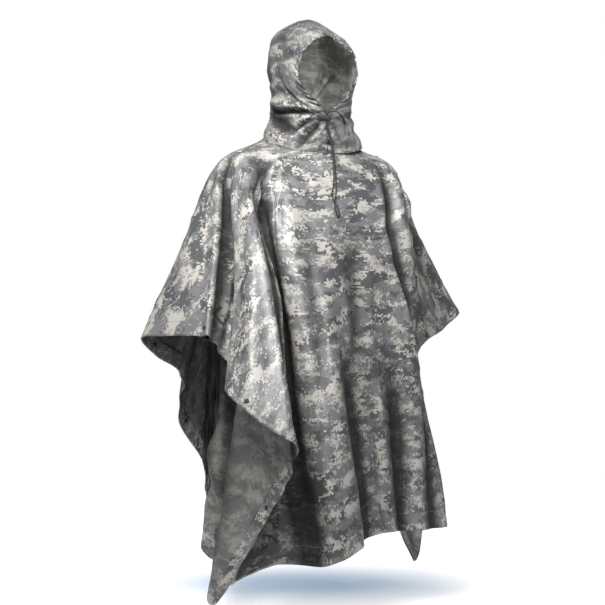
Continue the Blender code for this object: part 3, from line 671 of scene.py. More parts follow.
class Curve:
    """A smooth curve through points at rising knots, as a cubic with Catmull-Rom slopes."""

    def __init__(self, knots, points, closing=None):
        self.knots = np.asarray(knots, float)
        self.points = np.asarray(points, float)
        if closing is not None:
            self.knots = np.append(self.knots, closing)
            self.points = np.concatenate([self.points, self.points[:1]])
        spread = (-1,) + (1,) * (self.points.ndim - 1)
        steps = np.diff(self.knots).reshape(spread)
        rates = np.diff(self.points, axis=0) / steps
        blend = (rates[:-1] * steps[1:] + rates[1:] * steps[:-1]) / (steps[:-1] + steps[1:])
        if closing is None:
            self.slopes = np.concatenate([rates[:1], blend, rates[-1:]])
        else:
            seam = (rates[-1:] * steps[:1] + rates[:1] * steps[-1:]) / (steps[:1] + steps[-1:])
            self.slopes = np.concatenate([seam, blend, seam])

    def at(self, knots):
        """The points at an array of knot values."""
        knots = np.asarray(knots, float)
        i = np.clip(np.searchsorted(self.knots, knots, side="left") - 1, 0, len(self.knots) - 2)
        spread = (-1,) + (1,) * (self.points.ndim - 1)
        step = (self.knots[i + 1] - self.knots[i]).reshape(spread)
        f = (knots - self.knots[i]).reshape(spread) / step
        f2 = f * f
        f3 = f2 * f
        return (
            self.points[i] * (2 * f3 - 3 * f2 + 1)
            + self.slopes[i] * step * (f3 - 2 * f2 + f)
            + self.points[i + 1] * (3 * f2 - 2 * f3)
            + self.slopes[i + 1] * step * (f3 - f2)
        )


def curve_by_length(points):
    """A smooth curve from 0 to 1 through points, with knots in step with the chords' lengths."""
    points = np.asarray(points, float)
    lengths = np.append(0.0, np.cumsum(np.linalg.norm(np.diff(points, axis=0), axis=1)))
    return Curve(lengths / lengths[-1], points)


def neck_point(turn):
    """A point of the neck seam, at a bearing in degrees from the front."""
    angle = math.radians(turn)
    level = NECK_LEVEL - NECK_TILT * math.cos(angle)
    return np.array((NECK_HALF_WIDTH * math.sin(angle), -NECK_HALF_DEPTH * math.cos(angle), level))


def shoulder_point(turn):
    """A point of the oval over the shoulders, where the cloth starts to hang."""
    angle = math.radians(turn)
    drop = CHEST_DROP if math.cos(angle) > 0 else BACK_DROP
    level = SHOULDER_LEVEL - drop * math.cos(angle) ** 2
    across = SHOULDER_MIDDLE + SHOULDER_HALF_WIDTH * math.sin(angle)
    return np.array((across, -CHEST_HALF_DEPTH * math.cos(angle), level))


def rib(fold):
    """The curve of one fold line, from the neck seam to the sheet's edge."""
    shoulder = shoulder_point(fold.turn)
    end = np.array((fold.x, fold.y, fold.z))
    away = np.array((end[0] + shoulder[0], end[1] + shoulder[1], 0.0))
    middle = (shoulder + end) / 2 + away / np.linalg.norm(away) * fold.out
    return curve_by_length([neck_point(fold.turn), shoulder, middle, end])


def edge_place(run):
    """Where a run round the sheet's edge lies on the flat sheet."""
    corners = (0.0, HALF_LENGTH, HALF_LENGTH + SHEET_WIDTH, FRONT_RUN, FRONT_RUN + HALF_LENGTH,
               FRONT_RUN + HALF_LENGTH + SHEET_WIDTH, 2 * FRONT_RUN)
    x = np.interp(run, corners, (-1, -1, 1, 1, 1, -1, -1)) * HALF_WIDTH
    y = np.interp(run, corners, (0, -1, -1, 0, 1, 1, 0)) * HALF_LENGTH
    return x, y


class Cloth:
    """A grid of points of one piece of cloth.

    Each point has its place on the flat piece, its place in the print, and its painted fold shade
    from 0 to 1, which grows with how deep it lies in a fold.
    """

    def __init__(self, points, flat, outward, printed=None, depth=None):
        self.points = points
        self.flat = flat
        self.outward = outward
        self.printed = flat if printed is None else printed
        self.depth = np.zeros(points.shape[:2]) if depth is None else depth

    def normals(self):
        along = np.gradient(self.points, axis=0)
        down = np.gradient(self.points, axis=1)
        normal = np.cross(down, along) if self.outward else np.cross(along, down)
        return normal / np.maximum(np.linalg.norm(normal, axis=2, keepdims=True), 1e-9)

    def placed(self, points, depth=None):
        """The same cloth with its points in new places."""
        depth = self.depth if depth is None else depth
        return Cloth(points, self.flat, self.outward, self.printed, depth)

    def moved(self, distance, depth=None):
        """The same cloth, moved out by one distance or by a grid of them."""
        distance = np.broadcast_to(distance, self.points.shape[:2])[..., None]
        return self.placed(self.points + self.normals() * distance, depth)

    def cut(self, columns=slice(None), rows=slice(None)):
        return Cloth(self.points[columns, rows], self.flat[columns, rows], self.outward,
                     self.printed[columns, rows], self.depth[columns, rows])

    def drawn_in(self, distance):
        """The same cloth, its first and last columns drawn in by a distance."""
        points = self.points.copy()
        for end, inner in ((0, 1), (-1, -2)):
            step = self.points[inner] - self.points[end]
            length = np.maximum(np.linalg.norm(step, axis=1, keepdims=True), 1e-9)
            points[end] += step / length * np.minimum(distance, 0.5 * length)
        return self.placed(points)

    def nearest(self, place):
        """The column and row of the point nearest to a place."""
        away = np.linalg.norm(self.points - np.asarray(place), axis=2)
        return np.unravel_index(np.argmin(away), away.shape)


def soft_noise(x, y, seed):
    """Smooth noise from -1 to 1 with one swing in each unit."""
    table = np.random.default_rng(seed).uniform(-1, 1, (97, 89))
    across, down = table.shape
    i = np.floor(x).astype(int)
    j = np.floor(y).astype(int)
    f = x - i
    g = y - j
    f = f * f * f * (f * (f * 6 - 15) + 10)
    g = g * g * g * (g * (g * 6 - 15) + 10)
    i, after = i % across, (i + 1) % across
    j, below = j % down, (j + 1) % down
    low = table[i, j] * (1 - f) + table[after, j] * f
    high = table[i, below] * (1 - f) + table[after, below] * f
    return low * (1 - g) + high * g


def crease_lift(flat, creases):
    """How far each point lifts for a list of creases, and the painted shade that their troughs give it.

    Each crease is a rounded trough with a low bank on either side, and fades at both ends.
    """
    lift = np.zeros(flat.shape[:2])
    depth = np.zeros(flat.shape[:2])
    for crease in creases:
        way = np.array(crease.way)
        steps = np.diff(way, axis=0)
        lengths = np.linalg.norm(steps, axis=1)
        near = np.full(flat.shape[:2], 1e9)
        share = np.zeros(flat.shape[:2])
        done = 0.0
        for start, step, length in zip(way, steps, lengths):
            f = np.clip(((flat - start) @ step) / length ** 2, 0, 1)
            away = np.linalg.norm(flat - start - f[..., None] * step, axis=2)
            closer = away < near
            near = np.where(closer, away, near)
            share = np.where(closer, (done + f * length) / lengths.sum(), share)
            done += length
        d = near / crease.width
        taper = np.sin(np.pi * np.clip(share, 0.02, 0.98)) ** 0.6
        lift -= crease.depth * taper * (np.exp(-d * d) - 0.35 * np.exp(-((d - 1.9) ** 2) / 0.7))
        # Painted shade: darkest along the trough's middle, full at FULL_DEPTH.
        depth += max(crease.depth, 0.0) * taper * np.exp(-(d * 0.85) ** 2) / FULL_DEPTH
    return lift, np.clip(depth, 0, 1) ** 1.5


def hem_share(runs, neck_x, neck_y):
    """The share of each column's length that its hem takes."""
    along = runs % FRONT_RUN
    bottom = (along >= HALF_LENGTH) & (along <= HALF_LENGTH + SHEET_WIDTH)
    return np.where(bottom, BOTTOM_HEM / (HALF_LENGTH - np.abs(neck_y)),
                    SIDE_HEM / (HALF_WIDTH - np.abs(neck_x)))


def row_shares(hem, rows):
    """Where each row lies down each column, from 0 at the neck to 1 at the edge."""
    body_rows = np.linspace(0.0, 1.0, rows + 1)
    hem_rows = np.linspace(0.0, 1.0, HEM_STEPS + 1)[1:]
    parts = (np.outer(1 - hem, body_rows), (1 - hem)[:, None] + np.outer(hem, hem_rows))
    return np.concatenate(parts, axis=1)


def sheet_cloth(settings):
    """The whole draped sheet as one grid from the neck to the edge, and each column's run."""
    ends = np.array([(fold.x, fold.y, fold.z) for fold in SHEET_FOLDS])
    chords = np.linalg.norm(np.roll(ends, -1, axis=0) - ends, axis=1)
    knots = np.append(0.0, np.cumsum(np.sqrt(chords)))
    runs = [fold.run for fold in SHEET_FOLDS] + [2 * FRONT_RUN]
    turns = [fold.turn for fold in SHEET_FOLDS] + [SHEET_FOLDS[0].turn + 360]
    places = np.arange(len(SHEET_FOLDS) * settings.steps_round + 1) / settings.steps_round
    index = np.arange(len(knots))
    column_knots = np.interp(places, index, knots)
    column_runs = np.interp(places, index, runs)
    column_turns = np.radians(np.interp(places, index, turns))
    levels = np.linspace(0.0, 1.0, RIB_STEPS + 1)
    ribs = np.array([rib(fold).at(levels) for fold in SHEET_FOLDS])
    table = Curve(knots[:-1], ribs, closing=knots[-1]).at(column_knots)
    edge_x, edge_y = edge_place(column_runs)
    neck_x = NECK_CUT_HALF_WIDTH * np.sin(column_turns)
    neck_y = -NECK_CUT_HALF_DEPTH * np.cos(column_turns)
    shares = row_shares(hem_share(column_runs, neck_x, neck_y), settings.steps_down)
    spot = shares * RIB_STEPS
    low = np.minimum(spot.astype(int), RIB_STEPS - 1)
    part = (spot - low)[..., None]
    columns = np.arange(len(places))[:, None]
    points = table[columns, low] * (1 - part) + table[columns, low + 1] * part
    flat_x = neck_x[:, None] + (edge_x - neck_x)[:, None] * shares
    flat_y = neck_y[:, None] + (edge_y - neck_y)[:, None] * shares
    return Cloth(points, np.stack([flat_x, flat_y], axis=2), True), column_runs, shares


def draped(cloth, runs, shares, creases, seed):
    """The sheet with its flutes, swells, crumples and creases.

    The flutes grow towards the edge and end at the shoulder line. The rest, and the painted shade of the
    creases, fade at the neck.
    """
    run = np.broadcast_to(runs[:, None], shares.shape)
    flutes = FLUTES * soft_noise(run / 0.085, shares * 1.7, seed) * shares ** 1.5
    flutes += SMALL_FLUTES * soft_noise(run / 0.040, shares * 2.5 + 9, seed + 1) * shares ** 1.2
    x = cloth.flat[..., 0]
    y = cloth.flat[..., 1]
    broad = SWELLS * soft_noise(x / 0.11 + 20, y / 0.13 + 20, seed + 2)
    sharp = 1 - np.abs(soft_noise(x / 0.075 + 40, y / 0.095 + 40, seed + 3))
    small = 1 - np.abs(soft_noise(x / 0.033 + 70, y / 0.040 + 70, seed + 4))
    fine = CRUMPLES * (sharp ** 4 - 0.4) + SMALL_CRUMPLES * small ** 3
    neck = np.clip(shares / 0.10, 0, 1)
    ridge = np.clip(np.abs(y) / 0.03, 0, 1)
    # The creases' depth gives the painted fold shade that the cloth carries.
    lift, depth = crease_lift(cloth.flat, creases)
    return cloth.moved(flutes * ridge + (broad + fine + lift) * neck, depth * neck)


def turned(point, angle):
    """A point turned about the vertical axis."""
    x = point[0] * math.cos(angle) - point[1] * math.sin(angle)
    y = point[0] * math.sin(angle) + point[1] * math.cos(angle)
    return np.array((x, y, point[2]))


def hoop_curve(hoop):
    """A whole hoop from 0 at its right foot to 1 at its left one, in the hood's own frame."""
    foot = turned(neck_point(math.degrees(HOOD_TURN) - hoop.foot), -HOOD_TURN)
    top = np.array((0.0, hoop.top_y, hoop.top_z))
    half = []
    for level, width in zip(HOOP_LEVELS, (-foot[0], hoop.throat, hoop.cheek, hoop.temple)):
        point = foot + (top - foot) * level
        point[0] = -width
        half.append(point)
    others = [point * (-1, 1, 1) for point in reversed(half)]
    return curve_by_length(half + [top] + others)


def hood_cloth(side):
    """One half of the hood as a grid, columns from the face edge to the middle of the back."""
    hoops = [hoop_curve(hoop) for hoop in HOOD_HOOPS]
    shares = np.concatenate([
        np.linspace(0, CASING_SHARE, HOOD_CASING_STEPS + 1),
        np.linspace(CASING_SHARE, 0.5, HOOD_STEPS_ROUND + 1)[1:],
    ])
    rows = []
    for level in np.linspace(0, 0.5, HOOD_STEPS_UP + 1):
        points = np.array([curve.at([level])[0] for curve in hoops])
        others = points[-2::-1] * (-1, 1, 1)
        row = curve_by_length(np.concatenate([points, others])).at(shares)
        row[:, 0] = side * np.maximum(-row[:, 0], 0.0001)
        rows.append([turned(point, HOOD_TURN) for point in row])
    points = np.array(rows).transpose(1, 0, 2)
    across = side * np.broadcast_to(shares[:, None] * HOOD_ROUND, points.shape[:2])
    up = np.broadcast_to(np.linspace(0, HOOD_RISE, HOOD_STEPS_UP + 1)[None], points.shape[:2])
    round_way = np.linalg.norm(np.diff(points, axis=0, prepend=points[:1]), axis=2).cumsum(axis=0)
    up_way = np.linalg.norm(np.diff(points, axis=1, prepend=points[:, :1]), axis=2).cumsum(axis=1)
    printed = np.stack([side * round_way + 2.0, up_way + 1.5], axis=2)
    return Cloth(points, np.stack([across, up], axis=2), side < 0, printed)


def gathered(cloth, creases, seed, eyelet):
    """The hood half with the gathers that the drawcord pulls in, and the painted shade on it.

    The cloth stays flat round the eyelet, along the seam between the halves and at the foot.
    """
    x = np.abs(cloth.flat[..., 0])
    y = cloth.flat[..., 1]
    pull = np.exp(-((x / 0.026) ** 2))
    ruffle = GATHERS * soft_noise(y / 0.0090, x / 0.05, seed) * pull
    throat = np.exp(-(((y - 0.07) / 0.07) ** 2)) * np.exp(-((x / 0.10) ** 2))
    ruffle += THROAT_FOLDS * soft_noise(y / 0.018 + 11, x / 0.09, seed + 1) * throat
    broad = HOOD_SWELLS * soft_noise(x / 0.07 + 20, y / 0.08 + 20, seed + 2)
    sharp = 1 - np.abs(soft_noise(x / 0.055 + 30, y / 0.065 + 30, seed + 3))
    fine = HOOD_CRUMPLES * (sharp ** 4 - 0.4)
    seam = np.clip((0.5 * HOOD_ROUND - x) / 0.012, 0, 1) * np.clip((HOOD_RISE - y) / 0.012, 0, 1)
    foot = np.clip(y / 0.015, 0, 1)
    away = np.linalg.norm(cloth.flat - cloth.flat[cloth.nearest(eyelet)], axis=2)
    calm = seam * foot * (1 - np.exp(-((away / EYELET_CALM) ** 2)))
    lift, depth = crease_lift(np.stack([x, y], axis=2), creases)
    # Painted shade: a little all over the hood, more in its creases and in the hollows of the gathers.
    depth = np.clip(HOOD_SHADE + depth + GATHER_SHADE * np.clip(-ruffle / 0.003, 0, 1) * pull, 0, 1)
    return cloth.moved((ruffle + broad + fine + lift) * calm, depth)


# ---- meshes ----


def middle_of(node):
    """The middle of a node's box."""
    low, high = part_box(node)
    return (Vector(low) + Vector(high)) / 2


def show(thing):
    bpy.context.scene.collection.objects.link(thing)
    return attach(thing, "root")


def baked(thing, name):
    """An object's evaluated mesh as a plain object of its own, in place of it."""
    evaluated = thing.evaluated_get(bpy.context.evaluated_depsgraph_get())
    mesh = bpy.data.meshes.new_from_object(evaluated)
    bpy.data.objects.remove(thing)
    mesh.name = name
    return bpy.data.objects.new(name, mesh)


def cloth_piece(name, cloth, thickness, inside):
    """A thin closed shell of printed cloth, with its own finish inside."""
    columns, rows = cloth.points.shape[:2]
    index = np.arange(columns * rows).reshape(columns, rows)
    corners = (index[:-1, :-1], index[:-1, 1:], index[1:, 1:], index[1:, :-1])
    faces = np.stack(corners, axis=2).reshape(-1, 4)
    if not cloth.outward:
        faces = faces[:, ::-1]
    mesh = bpy.data.meshes.new(name)
    mesh.from_pydata(cloth.points.reshape(-1, 3).tolist(), [], faces.tolist())
    layer = mesh.uv_layers.new(name="cloth")
    layer.data.foreach_set("uv", cloth.printed.reshape(-1, 2)[faces.ravel()].ravel())
    # The painted fold shade, which the print's material reads to darken its colour.
    mesh.attributes.new("fold", "FLOAT", "POINT").data.foreach_set("value", cloth.depth.ravel())
    mesh.materials.append(finish_of("camouflage_outside"))
    mesh.materials.append(finish_of(inside))
    mesh.shade_smooth()
    thing = bpy.data.objects.new(name, mesh)
    bpy.context.scene.collection.objects.link(thing)
    wall = thing.modifiers.new("wall", "SOLIDIFY")
    wall.thickness = thickness
    wall.offset = 0.0
    wall.material_offset = 1
    return show(baked(thing, name))


def sewn(thing, node, flat, area, **others):
    """Hides the node that a main piece of cloth stands for. The piece and its flat size are not used."""
    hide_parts(node)


def hem_piece(node, cloth, settings):
    """A turned hem or casing that stands for a node."""
    thing = cloth_piece("cloth_" + node, cloth, settings.hem_thickness, "camouflage_outside")
    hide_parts(node)
    return thing


def turned_under(cloth, settings):
    """The cloth's layer inside, where a hem or casing lies."""
    return cloth.moved(-(settings.thickness / 2 + LAYER_GAP + settings.hem_thickness / 2))


def fitting(thing, *nodes):
    """Hides the nodes that a black plastic piece stands for, and gives the piece back."""
    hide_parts(*nodes)
    return thing


def node_tree(name, sockets):
    """An empty geometry tree with named inputs."""
    tree = bpy.data.node_groups.new(name, "GeometryNodeTree")
    tree.interface.new_socket("Geometry", in_out="INPUT", socket_type="NodeSocketGeometry")
    tree.interface.new_socket("Geometry", in_out="OUTPUT", socket_type="NodeSocketGeometry")
    for label, default in sockets:
        made = tree.interface.new_socket(label, in_out="INPUT", socket_type="NodeSocketFloat")
        made.default_value = default
    finish = tree.interface.new_socket("Finish", in_out="INPUT", socket_type="NodeSocketMaterial")
    finish.description = "Material of the pieces"
    return tree


class Builder(Nodes):
    """Adds geometry nodes to a tree, from its inputs to its one output."""

    def __init__(self, tree):
        super().__init__(tree)
        self.inputs = tree.nodes.new("NodeGroupInput").outputs
        self.end = tree.nodes.new("NodeGroupOutput")

    def joined(self, *parts):
        """Several geometries as one."""
        join = self.node("GeometryNodeJoinGeometry")
        for part in parts:
            self.put(join.inputs[0], part)
        return join.outputs[0]

    def close(self, geometry):
        real = self.node("GeometryNodeRealizeInstances", Geometry=geometry)
        painted = self.node("GeometryNodeSetMaterial", Geometry=real.outputs[0],
                            Material=self.inputs["Finish"])
        self.put(self.end.inputs[0], painted.outputs[0])


def stitch_tree():
    """Short round stitches set end to end along lines."""
    tree = node_tree("stitch_row", (("Length", 0.003), ("Pitch", 0.0045), ("Radius", 0.00035)))
    build = Builder(tree)
    line = build.node("GeometryNodeMeshToCurve", Mesh=build.inputs["Geometry"])
    even = build.node("GeometryNodeResampleCurve", {"mode": "LENGTH"}, Curve=line.outputs[0],
                      Length=build.inputs["Pitch"])
    stitch = build.node("GeometryNodeMeshCylinder", Vertices=6, Radius=build.inputs["Radius"],
                        Depth=build.inputs["Length"])
    way = build.node("GeometryNodeInputTangent")
    turn = build.node("FunctionNodeAlignRotationToVector", {"axis": "Z"}, Vector=way.outputs[0])
    row = build.node("GeometryNodeInstanceOnPoints", Points=even.outputs[0],
                     Instance=stitch.outputs["Mesh"], Rotation=turn.outputs[0])
    build.close(row.outputs[0])
    return tree


def snap_tree(name, half):
    """Round snap halves that face along each point's own direction."""
    tree = node_tree(name, (("Radius", 0.0055),))
    build = Builder(tree)
    facing = build.node("GeometryNodeInputNamedAttribute", {"data_type": "FLOAT_VECTOR"}, Name="facing")
    turn = build.node("FunctionNodeAlignRotationToVector", {"axis": "Z"}, Vector=facing.outputs[0])
    plate = build.node("GeometryNodeMeshCylinder", Vertices=24, Radius=build.inputs["Radius"],
                       Depth=SNAP_PLATE)
    rim = build.node("GeometryNodeCurvePrimitiveCircle", {"mode": "RADIUS"}, Resolution=24,
                     Radius=half.rim)
    wire = build.node("GeometryNodeCurvePrimitiveCircle", {"mode": "RADIUS"}, Resolution=8,
                      Radius=half.wire)
    ring = build.node("GeometryNodeCurveToMesh", Curve=rim.outputs["Curve"],
                      **{"Profile Curve": wire.outputs["Curve"]})
    raised = build.node("GeometryNodeTransform", Geometry=ring.outputs[0],
                        Translation=(0.0, 0.0, half.rise))
    ball = build.node("GeometryNodeMeshUVSphere", Segments=20, Rings=10, Radius=half.dome)
    dome = build.node("GeometryNodeTransform", Geometry=ball.outputs["Mesh"],
                      Translation=(0.0, 0.0, 0.0004), Scale=(1.0, 1.0, half.flatness))
    snap = build.joined(plate.outputs["Mesh"], raised.outputs[0], dome.outputs[0])
    smooth = build.node("GeometryNodeSetShadeSmooth", Geometry=snap)
    placed = build.node("GeometryNodeInstanceOnPoints", Points=build.inputs["Geometry"],
                        Instance=smooth.outputs[0], Rotation=turn.outputs[0])
    build.close(placed.outputs[0])
    return tree


def grown(name, mesh, tree, finish, **inputs):
    """A plain mesh of what a tree makes on a mesh."""
    thing = bpy.data.objects.new(name + "_lines", mesh)
    bpy.context.scene.collection.objects.link(thing)
    grow = thing.modifiers.new("grow", "NODES")
    grow.node_group = tree
    inputs["Finish"] = finish_of(finish)
    for item in tree.interface.items_tree:
        if item.in_out == "INPUT" and item.name in inputs:
            grow[item.identifier] = inputs[item.name]
    return show(baked(thing, name))


def lines_mesh(name, lines):
    """A mesh of loose lines, each one chain of edges."""
    points = []
    edges = []
    for line in lines:
        first = len(points)
        points.extend(np.asarray(line).tolist())
        edges.extend((k, k + 1) for k in range(first, len(points) - 1))
    mesh = bpy.data.meshes.new(name)
    mesh.from_pydata(points, edges, [])
    return mesh


def cord_line(route):
    """Points along a smooth curve through a cord's route."""
    return curve_by_length(route).at(np.linspace(0, 1, CORD_STEPS))


def line_length(line):
    return float(np.linalg.norm(np.diff(line, axis=0), axis=1).sum())


def cord_piece(name, line, diameter):
    """A round cord along a line of points."""
    data = bpy.data.curves.new(name, "CURVE")
    data.dimensions = "3D"
    data.bevel_depth = diameter / 2
    data.bevel_resolution = 3
    data.use_fill_caps = True
    spline = data.splines.new("POLY")
    spline.points.add(len(line) - 1)
    for point, place in zip(spline.points, line):
        point.co = (*place, 1.0)
    data.materials.append(finish_of("black_cord"))
    return show(bpy.data.objects.new(name, data))


def turned_piece(name, profile, start, axis, steps=28):
    """A turned black plastic piece from its profile, along an axis from a start."""
    across = Vector(axis).normalized()
    turn = across.to_track_quat("Z", "Y").to_matrix()
    points = []
    for radius, height in profile:
        for step in range(steps):
            angle = 2 * math.pi * step / steps
            place = turn @ Vector((radius * math.cos(angle), radius * math.sin(angle), height))
            points.append(tuple(place + Vector(start)))
    faces = []
    for ring in range(len(profile) - 1):
        for step in range(steps):
            after = (step + 1) % steps
            faces.append((ring * steps + step, ring * steps + after,
                          (ring + 1) * steps + after, (ring + 1) * steps + step))
    last = (len(profile) - 1) * steps
    faces.append(tuple(range(steps))[::-1])
    faces.append(tuple(range(last, last + steps)))
    mesh = bpy.data.meshes.new(name)
    mesh.from_pydata(points, [], faces)
    mesh.materials.append(finish_of("black_plastic"))
    mesh.shade_smooth()
    mesh.set_sharp_from_angle(angle=math.radians(50))
    return show(bpy.data.objects.new(name, mesh))


# The grids of the pieces made so far, for the trims that lie on them.
CLOTHS = {}


# ---- stage ----


def stand_camera(right, ahead, settings):
    data = bpy.data.cameras.new("camera")
    data.sensor_width = CAMERA_SENSOR
    data.lens = CAMERA_LENS
    camera = bpy.data.objects.new("camera", data)
    level = Vector((0, 0, CAMERA_LEVEL))
    camera.location = right * CAMERA_ASIDE - ahead * settings.distance + level
    camera.rotation_euler = (math.radians(90), 0, settings.bearing)
    bpy.context.scene.collection.objects.link(camera)
    bpy.context.scene.camera = camera


def floor_finish():
    """A pale glowing floor with a painted soft blue-grey shadow under the poncho, clear at its rim."""
    shader = Shader("pale_floor", Roughness=0.9, Specular_IOR_Level=0.0, Emission_Strength=0.74)
    place = shader.node("ShaderNodeTexCoord").outputs["Object"]
    # Painted shadow, on top of the real one: an oval under the poncho where the base and glow colours turn
    # blue-grey.
    aside = shader.vector("SUBTRACT", place, (-0.02, 0.31, 0.0))
    painted_shadow_distance = shader.length(shader.vector("MULTIPLY", aside, (1.62, 3.3, 0.0)))
    rim = shader.length(shader.vector("MULTIPLY", place, (1.0, 1.0, 0.0)))
    shade = painted_shadow_distance.ramp(0.1, 1.05)
    shader.feed(
        Base_Color=shader.mix(shade, (0.38, 0.45, 0.52, 1.0), (0.85, 0.85, 0.85, 1.0)),
        Emission_Color=shader.mix(shade, (0.32, 0.42, 0.54, 1.0), WHITE),
        Alpha=1.0 - rim.ramp(1.0, 2.4),
    )
    return shader.material


def lay_floor(settings):
    mesh = bpy.data.meshes.new("floor")
    corners = ((-1, -1), (1, -1), (1, 1), (-1, 1))
    mesh.from_pydata([(x * FLOOR_REACH, y * FLOOR_REACH, settings.floor_level) for x, y in corners],
                     [], [(0, 1, 2, 3)])
    mesh.materials.append(floor_finish())
    floor = bpy.data.objects.new("floor", mesh)
    floor.rotation_euler = (0, 0, settings.bearing)
    bpy.context.scene.collection.objects.link(floor)


def studio_world():
    """A faint even light from all round, and a white backdrop behind it."""
    world = bpy.data.worlds.new("studio")
    world.use_nodes = True
    nodes = Nodes(world.node_tree)
    around = world.node_tree.nodes["Background"]
    around.inputs["Color"].default_value = (0.94, 0.97, 1.0, 1.0)
    around.inputs["Strength"].default_value = 0.22
    backdrop = nodes.node("ShaderNodeBackground", None, WHITE)
    seen = nodes.node("ShaderNodeLightPath").outputs["Is Camera Ray"]
    choice = nodes.node("ShaderNodeMixShader", None, seen, around.outputs[0], backdrop.outputs[0])
    nodes.put(world.node_tree.nodes["World Output"].inputs["Surface"], choice.outputs[0])
    return world


def area_light(name, place, aim, size, power, tint, beam):
    data = bpy.data.lights.new(name, "AREA")
    data.shape = "RECTANGLE"
    data.spread = math.radians(beam)
    data.size, data.size_y = size
    data.energy = power
    data.color = tint
    light = bpy.data.objects.new(name, data)
    light.location = place
    light.rotation_euler = (aim - place).to_track_quat("-Z", "Y").to_euler()
    bpy.context.scene.collection.objects.link(light)


# ---- operators ----


class PONCHO_OT_body(bpy.types.Operator):
    """The front and the back of the sheet, with their turned hems"""

    bl_idname = "poncho.body"
    bl_label = "Body and hems"

    def execute(self, context):
        settings = context.scene.poncho_cloth
        cloth, runs, shares = sheet_cloth(settings)
        ridge = int(np.argmin(np.abs(runs - FRONT_RUN)))
        halves = (
            ("front", slice(0, ridge + 1), 0.0, ("right", "left")),
            ("back", slice(ridge, None), FRONT_RUN, ("left", "right")),
        )
        whole = draped(cloth, runs, shares, FRONT_CREASES + BACK_CREASES, SHEET_SEED)
        neck = NECK_CUT_HALF_WIDTH * NECK_CUT_HALF_DEPTH * math.pi / 2
        for name, columns, start, sides in halves:
            half = whole.cut(columns).drawn_in(SHOULDER_GAP)
            places = runs[columns]
            CLOTHS[name] = half
            body = cloth_piece("cloth_body_" + name, half, settings.thickness, "camouflage_inside")
            inside = turned_under(half, settings).cut(rows=slice(-HEM_STEPS - 1, None))
            corners = (start, start + HALF_LENGTH, start + HALF_LENGTH + SHEET_WIDTH, start + FRONT_RUN)
            nodes = (
                "hem_side_%s_%s" % (name, sides[0]),
                "hem_bottom_" + name,
                "hem_side_%s_%s" % (name, sides[1]),
            )
            hems = []
            for node, low, high in zip(nodes, corners, corners[1:]):
                chosen = np.flatnonzero((places > low - 0.001) & (places < high + 0.001))
                strip = inside.cut(columns=chosen).drawn_in(HEM_END_GAP)
                hems.append(hem_piece(node, strip, settings))
            sewn(body, "body_" + name, (SHEET_WIDTH, HALF_LENGTH), SHEET_WIDTH * HALF_LENGTH - neck,
                 with_pieces=hems)
        return {"FINISHED"}


class PONCHO_OT_hood(bpy.types.Operator):
    """The two halves of the hood, with the drawcord casing inside the face edge"""

    bl_idname = "poncho.hood"
    bl_label = "Hood"

    def execute(self, context):
        settings = context.scene.poncho_cloth
        halves = (("right", -1, HOOD_RIGHT_CREASES, 21), ("left", 1, HOOD_LEFT_CREASES, 31))
        area = HOOD_FLAT[0] * HOOD_FLAT[1] * HOOD_FLAT_SHARE
        for name, side, creases, seed in halves:
            cloth = gathered(hood_cloth(side), creases, seed, middle_of("eyelet_" + name))
            CLOTHS["hood_" + name] = cloth
            half = cloth_piece("cloth_hood_" + name, cloth, settings.thickness, "camouflage_inside")
            strip = turned_under(cloth, settings).cut(columns=slice(0, HOOD_CASING_STEPS + 1))
            casing = hem_piece("casing_" + name, strip, settings)
            sewn(half, "hood_" + name, HOOD_FLAT, area,
                 rests_on=["cloth_body_front", "cloth_body_back"], with_pieces=[casing])
        return {"FINISHED"}


class PONCHO_OT_snaps(bpy.types.Operator):
    """Snap fasteners down the side edges, a cap outside and a socket inside at each place"""

    bl_idname = "poncho.snaps"
    bl_label = "Snap fasteners"

    def execute(self, context):
        settings = context.scene.poncho_cloth
        radius = context.scene.poncho_trim.snap_radius
        outside = settings.thickness / 2 + 0.0004
        inside = outside + settings.hem_thickness
        for kind, way, stand in (("cap", 1, outside), ("socket", -1, inside)):
            nodes = [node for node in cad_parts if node.startswith("snap_") and node.endswith(kind)]
            points = []
            facing = []
            for node in nodes:
                half = CLOTHS["front" if "_front_" in node else "back"]
                i, j = half.nearest(middle_of(node))
                normal = way * half.normals()[i, j]
                points.append(half.points[i, j] + normal * stand)
                facing.append(normal)
            mesh = bpy.data.meshes.new("snap_places_" + kind)
            mesh.from_pydata([tuple(point) for point in points], [], [])
            mesh.attributes.new("facing", "FLOAT_VECTOR", "POINT")
            mesh.attributes["facing"].data.foreach_set("vector", np.array(facing).ravel())
            tree = snap_tree("snap_" + kind, SNAP_HALVES[kind])
            fitting(grown("snap_%ss" % kind, mesh, tree, "black_plastic", Radius=radius), *nodes)
        return {"FINISHED"}


